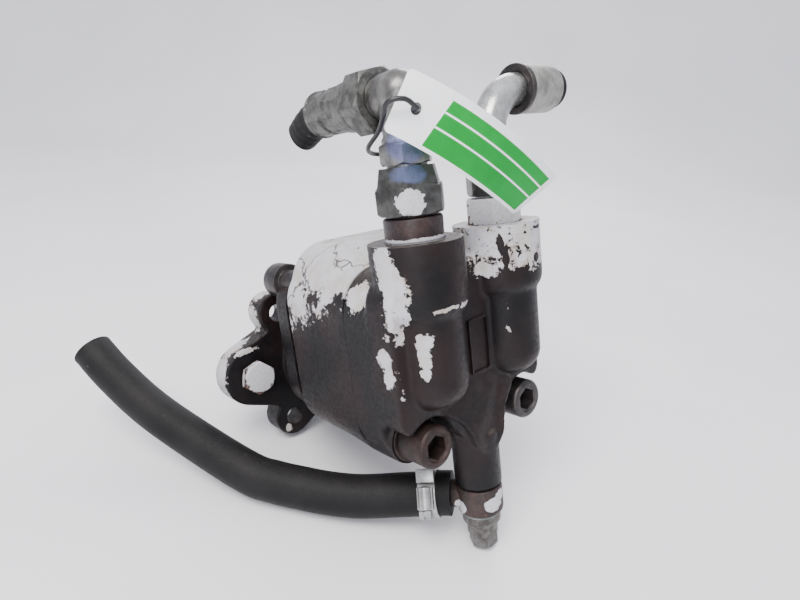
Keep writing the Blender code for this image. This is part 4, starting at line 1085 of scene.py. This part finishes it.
def clamp():
    at = clamp_frame()
    inner, outer, half, worm = HOSE_R + 0.35, HOSE_R + 1.4, 6.0, 20.5
    band = ring(inner, outer, -half, half, 0.3, 2, axis='X', sides=96)
    slots = []
    for angle in range(-70, 164, 9):
        slot = box((-3.2, outer - 0.5, -0.45), (3.2, outer + 0.5, 0.45))
        slot.transform(Matrix.Rotation(math.radians(angle), 4, 'X'))
        slots.append(slot)
    band = carved(band, merged(slots))
    band = joined(band, edged(box((-half, outer - 0.6, 8), (half, outer + 0.6, 17)), 0.25))
    shell = cast([box((-5.3, outer + 1.0, -9), (5.3, worm + 0.5, 5.4)),
                  cylinder(4.6, -9, 5.4, (0, worm - 0.6), 'Z')], 0.35, 6)
    shell = carved(shell, cylinder(3.1, -11, 8, (0, worm), 'Z', ROUND))
    thread = [(0, -9.6), (2.0, -9.6)]
    for i in range(12):
        thread += [(2.8, -9.2 + i * 1.3), (2.2, -8.55 + i * 1.3)]
    thread.append((0, 6.4))
    head = edged(chamfered_hexagon(8.0, -14.5, -9.3), 0.3)
    screw = carved(joined(head, lathe(thread, sides=ROUND)), box((-0.6, -6, -16), (0.6, 6, -13)))
    return [show("hose_clamp_band", band, CLAMP_STEEL, "clamp_band", matrix=at),
             show("hose_clamp_housing", shell, CLAMP_STEEL, "clamp_housing", matrix=at),
             show("hose_clamp_screw", screw, CLAMP_STEEL, "clamp_screw", "clamp_worm",
                  at @ Matrix.Translation((0, worm * MM, 0)))]


def drain_hose():
    route = smooth_route(hose_points(), 5)
    mesh = sweep(route, HOSE_R, FINE, None, 9.5, 30)
    hose = show("drain_hose_rubber", mesh, HOSE_RUBBER, "drain_hose",
                matrix=Matrix.Identity(4))
    clamp()


drain_hose()


# ---- seal, gears, blocks and bushes

def drawn(name, shader):
    """A CAD piece shown as it is, with a procedural look."""
    piece = frame["nodes"][name]
    piece.data.materials.clear()
    piece.data.materials.append(shader)


def inner_pieces():
    alloy = steel("block_alloy", (0.50, 0.50, 0.50), (0.40, 0.40, 0.40), (0.3, 0.45), 0.0, 14, 2.0,
                  0.9, 0.15)
    bronze = steel("bush_bronze", (0.46, 0.27, 0.10), (0.36, 0.20, 0.08), (0.25, 0.4), 0.0, 10, 6.0,
                   0.9, 0.15)
    drawn("driven_gear", GROUND_STEEL)
    for side in ("cover_side", "flange_side"):
        drawn("bearing_block_" + side, alloy)
        drawn("bush_drive_" + side, bronze)
        drawn("bush_idler_" + side, bronze)
    profile = rounded([(13.1, 187.5), (13.6, 187.2), (21.7, 187.2), (21.7, 179.2), (19.0, 179.2),
                       (19.0, 185.2), (16.0, 184.0), (13.1, 182.6)], 0.5, 2)
    show("shaft_lip_seal", lathe(profile, (0, 0, SHAFT_Z), 'Y'), rubber("seal_rubber", 0.2),
         "shaft_seal")
    clip = ring(18.0, 21.7, 188.0, 189.4, 0.25, 2, (0, 0, SHAFT_Z), 'Y')
    show("seal_ring", clip, DARK_STEEL, "seal_retaining_ring")


inner_pieces()


# ---- stock tag

TAG_LEFT, TAG_RIGHT = Vector((-54.0, -21.5, 289.5)), Vector((39.0, -31.0, 231.0))
TAG_UP_LEFT, TAG_UP_RIGHT = Vector((0.45, -0.15, 0.88)), Vector((0.56, -0.61, 0.55))
TAG_BOW = Vector((-8.5, -10.7, 3.2))
TAG_LENGTH = (TAG_RIGHT - TAG_LEFT).length
TAG_HALF, TAG_THICK, TAG_HOLE = 16.5, 0.6, 13.0
TIE_ROUTE = ((-20.0, -14.0, 279.0), (-14.5, -2.0, 273.0), (-17.0, 12.0, 267.5), (-28.0, 18.8, 265.5),
             (-41.0, 18.3, 266.0), (-51.5, 9.0, 269.0), (-55.0, -6.0, 276.0), (-60.0, -18.0, 283.0),
             (-61.5, -24.0, 288.0), (-55.0, -29.0, 288.5))


def tag_frame(share):
    """At a share of the tag's length: X along it, Y up across it, Z out of its face."""
    middle = TAG_LEFT.lerp(TAG_RIGHT, share) + TAG_BOW * 4 * share * (1 - share)
    along = (TAG_RIGHT - TAG_LEFT + TAG_BOW * 4 * (1 - 2 * share)).normalized()
    face = along.cross(TAG_UP_LEFT.lerp(TAG_UP_RIGHT, share)).normalized()
    return axes(middle * MM, along, face.cross(along), face)


def card_mesh():
    """The card cut out flat, then bent; each point keeps its flat place for the print."""
    corners = rounded_rectangle((TAG_LENGTH / 2, 0), TAG_LENGTH / 2, TAG_HALF, 3.0, 6)
    card = plate(corners, -TAG_THICK / 2, TAG_THICK / 2)
    card.transform(Matrix.Rotation(math.pi / 2, 4, 'X'))
    card = carved(card, cylinder(3.2, -2, 2, (TAG_HOLE, 0), sides=ROUND))
    bm = bmesh.new()
    bm.from_mesh(card)
    steps = 30
    for i in range(1, steps):
        bmesh.ops.bisect_plane(bm, geom=[*bm.verts, *bm.edges, *bm.faces], plane_no=(1, 0, 0),
                               plane_co=(TAG_LENGTH * MM * i / steps, 0, 0))
    bmesh.ops.triangulate(bm, faces=bm.faces)
    card = mesh_of(bm)
    flat = card.attributes.new("flat", 'FLOAT_VECTOR', 'POINT')
    for vert, kept in zip(card.vertices, flat.data):
        kept.vector = vert.co
        vert.co = tag_frame(vert.co.x / MM / TAG_LENGTH) @ Vector((0, vert.co.y, vert.co.z))
    return card


def tag_card():
    """White coated card with a plain green panel that two thin white lines cross."""
    look = Look("tag_card")
    flat = look.add('ShaderNodeAttribute', attribute_name="flat")
    look.place = look.vector('SCALE', flat.outputs["Vector"], scale=1000.0)
    x, y = look.axis(0), look.axis(1)
    slanted = look.minus(x, look.times(y, 0.22))
    panel = look.times(look.step(slanted, 27.9, 28.1), look.step(x, 107.1, 106.9))
    panel = look.times(panel, look.step(y, 12.3, 12.1))
    panel = look.times(panel, look.step(y, -14.6, -14.4))
    for line in (5.2, -3.4):
        away = look.math('ABSOLUTE', look.minus(y, line))
        panel = look.times(panel, look.step(away, 0.45, 0.6))
    soil = look.patches(0.50, 0.75, 14, 6, 0.65, 3)
    card = look.mix(look.times(soil, 0.35), (0.86, 0.87, 0.88), (0.60, 0.60, 0.60))
    green = look.mix(look.patches(0.3, 0.7, 20, 4, 0.5, 8), (0.0, 0.24, 0.03), (0.001, 0.29, 0.04))
    look.set(Base_Color=look.mix(panel, card, green), Roughness=look.blend(soil, 0.45, 0.6),
             Specular_IOR_Level=0.12)
    look.bump((look.noise(3, 3, 0.5, 5), 0.03, 0.3))
    return look.material


def tag():
    show("stock_tag_card", card_mesh(), tag_card(), "stock_tag")
    nylon = Look("tie_nylon")
    nylon.set(Base_Color=(0.010, 0.010, 0.011), Roughness=nylon.blend(nylon.noise(3, 4, 0.6), 0.28, 0.45))
    nylon.bump((nylon.noise(1.5, 2, 0.5), 0.05, 0.3))
    hole = tag_frame(TAG_HOLE / TAG_LENGTH)
    middle, out = hole.translation / MM, hole.to_3x3() @ Vector((0, 0, 1))
    route = [middle + out * 2.5, middle - out * 6] + [Vector(point) for point in TIE_ROUTE]
    loop = sweep(smooth_route(route + [route[0]], 3)[:-1], 1.3, 12, loop=True)
    head = edged(box((-17.4, -5.4, 273.6), (-12.6, 1.4, 278.4)), 0.6)
    tail = edged(box((-15, -2.5, 275.2), (8.9, -1.3, 277.8)), 0.2)
    show("tag_tie", joined(loop, head, tail), nylon.material, "tag_cable_tie")


tag()


# ---- room

def room():
    """A pale floor that curves up into a wall, far enough behind to stay soft."""
    bm = bmesh.new()
    half, radius, back = 8.0, 0.5, 1.6
    profile = [(-half, 0.0), *arc((back - radius, radius), radius, -90, 0, 16), (back, 2.6)]
    rows = [[bm.verts.new((side * half, y, z)) for y, z in profile] for side in (-1, 1)]
    for a, b, c, d in zip(rows[0], rows[1], rows[1][1:], rows[0][1:]):
        bm.faces.new((a, b, c, d))
    mesh = mesh_of(bm)
    mesh.shade_smooth()
    floor = placed("studio_floor", mesh)
    floor.rotation_euler = (0, 0, -math.atan2(CAMERA_FORWARD.x, CAMERA_FORWARD.y))
    look = Look("studio_floor")
    shade = look.mix(look.patches(0.3, 0.7, 260, 3, 0.5), (0.80, 0.79, 0.82), (0.84, 0.83, 0.85))
    look.set(Base_Color=shade, Roughness=0.7)
    mesh.materials.append(look.material)
    return floor


def light(name, at, aim, size, power, colour):
    data = bpy.data.lights.new(name, 'AREA')
    data.shape = 'SQUARE'
    data.size = size
    data.energy = power
    data.color = colour
    lamp = placed(name, data)
    lamp.location = at
    lamp.rotation_euler = (Vector(aim) - Vector(at)).to_track_quat('-Z', 'Y').to_euler()
    return lamp


def sky():
    """Bright above, dimmer at the horizon, so that metal has something to reflect."""
    world = bpy.data.worlds.new("studio")
    world.use_nodes = True
    tree = world.node_tree
    place = tree.nodes.new('ShaderNodeTexCoord')
    parts = tree.nodes.new('ShaderNodeSeparateXYZ')
    ramp = tree.nodes.new('ShaderNodeMapRange')
    tree.links.new(place.outputs["Generated"], parts.inputs[0])
    tree.links.new(parts.outputs[2], ramp.inputs["Value"])
    ramp.inputs["From Min"].default_value = -0.1
    ramp.inputs["From Max"].default_value = 0.9
    ramp.inputs["To Min"].default_value = 0.55
    ramp.inputs["To Max"].default_value = 1.9
    background = tree.nodes["Background"]
    background.inputs["Color"].default_value = (0.86, 0.88, 0.95, 1.0)
    tree.links.new(ramp.outputs["Result"], background.inputs["Strength"])
    bpy.context.scene.world = world


sky()
room()
light("key", (-0.55, -0.25, 1.15), (0, 0, 0.12), 0.6, 17.0, (1.0, 0.97, 0.93))
light("fill", (-1.1, -0.9, 0.55), (0, 0, 0.12), 0.8, 7.0, (0.93, 0.95, 1.0))
light("rim", (0.9, 0.7, 0.9), (0, 0, 0.15), 0.6, 9.0, (1.0, 0.98, 0.96))
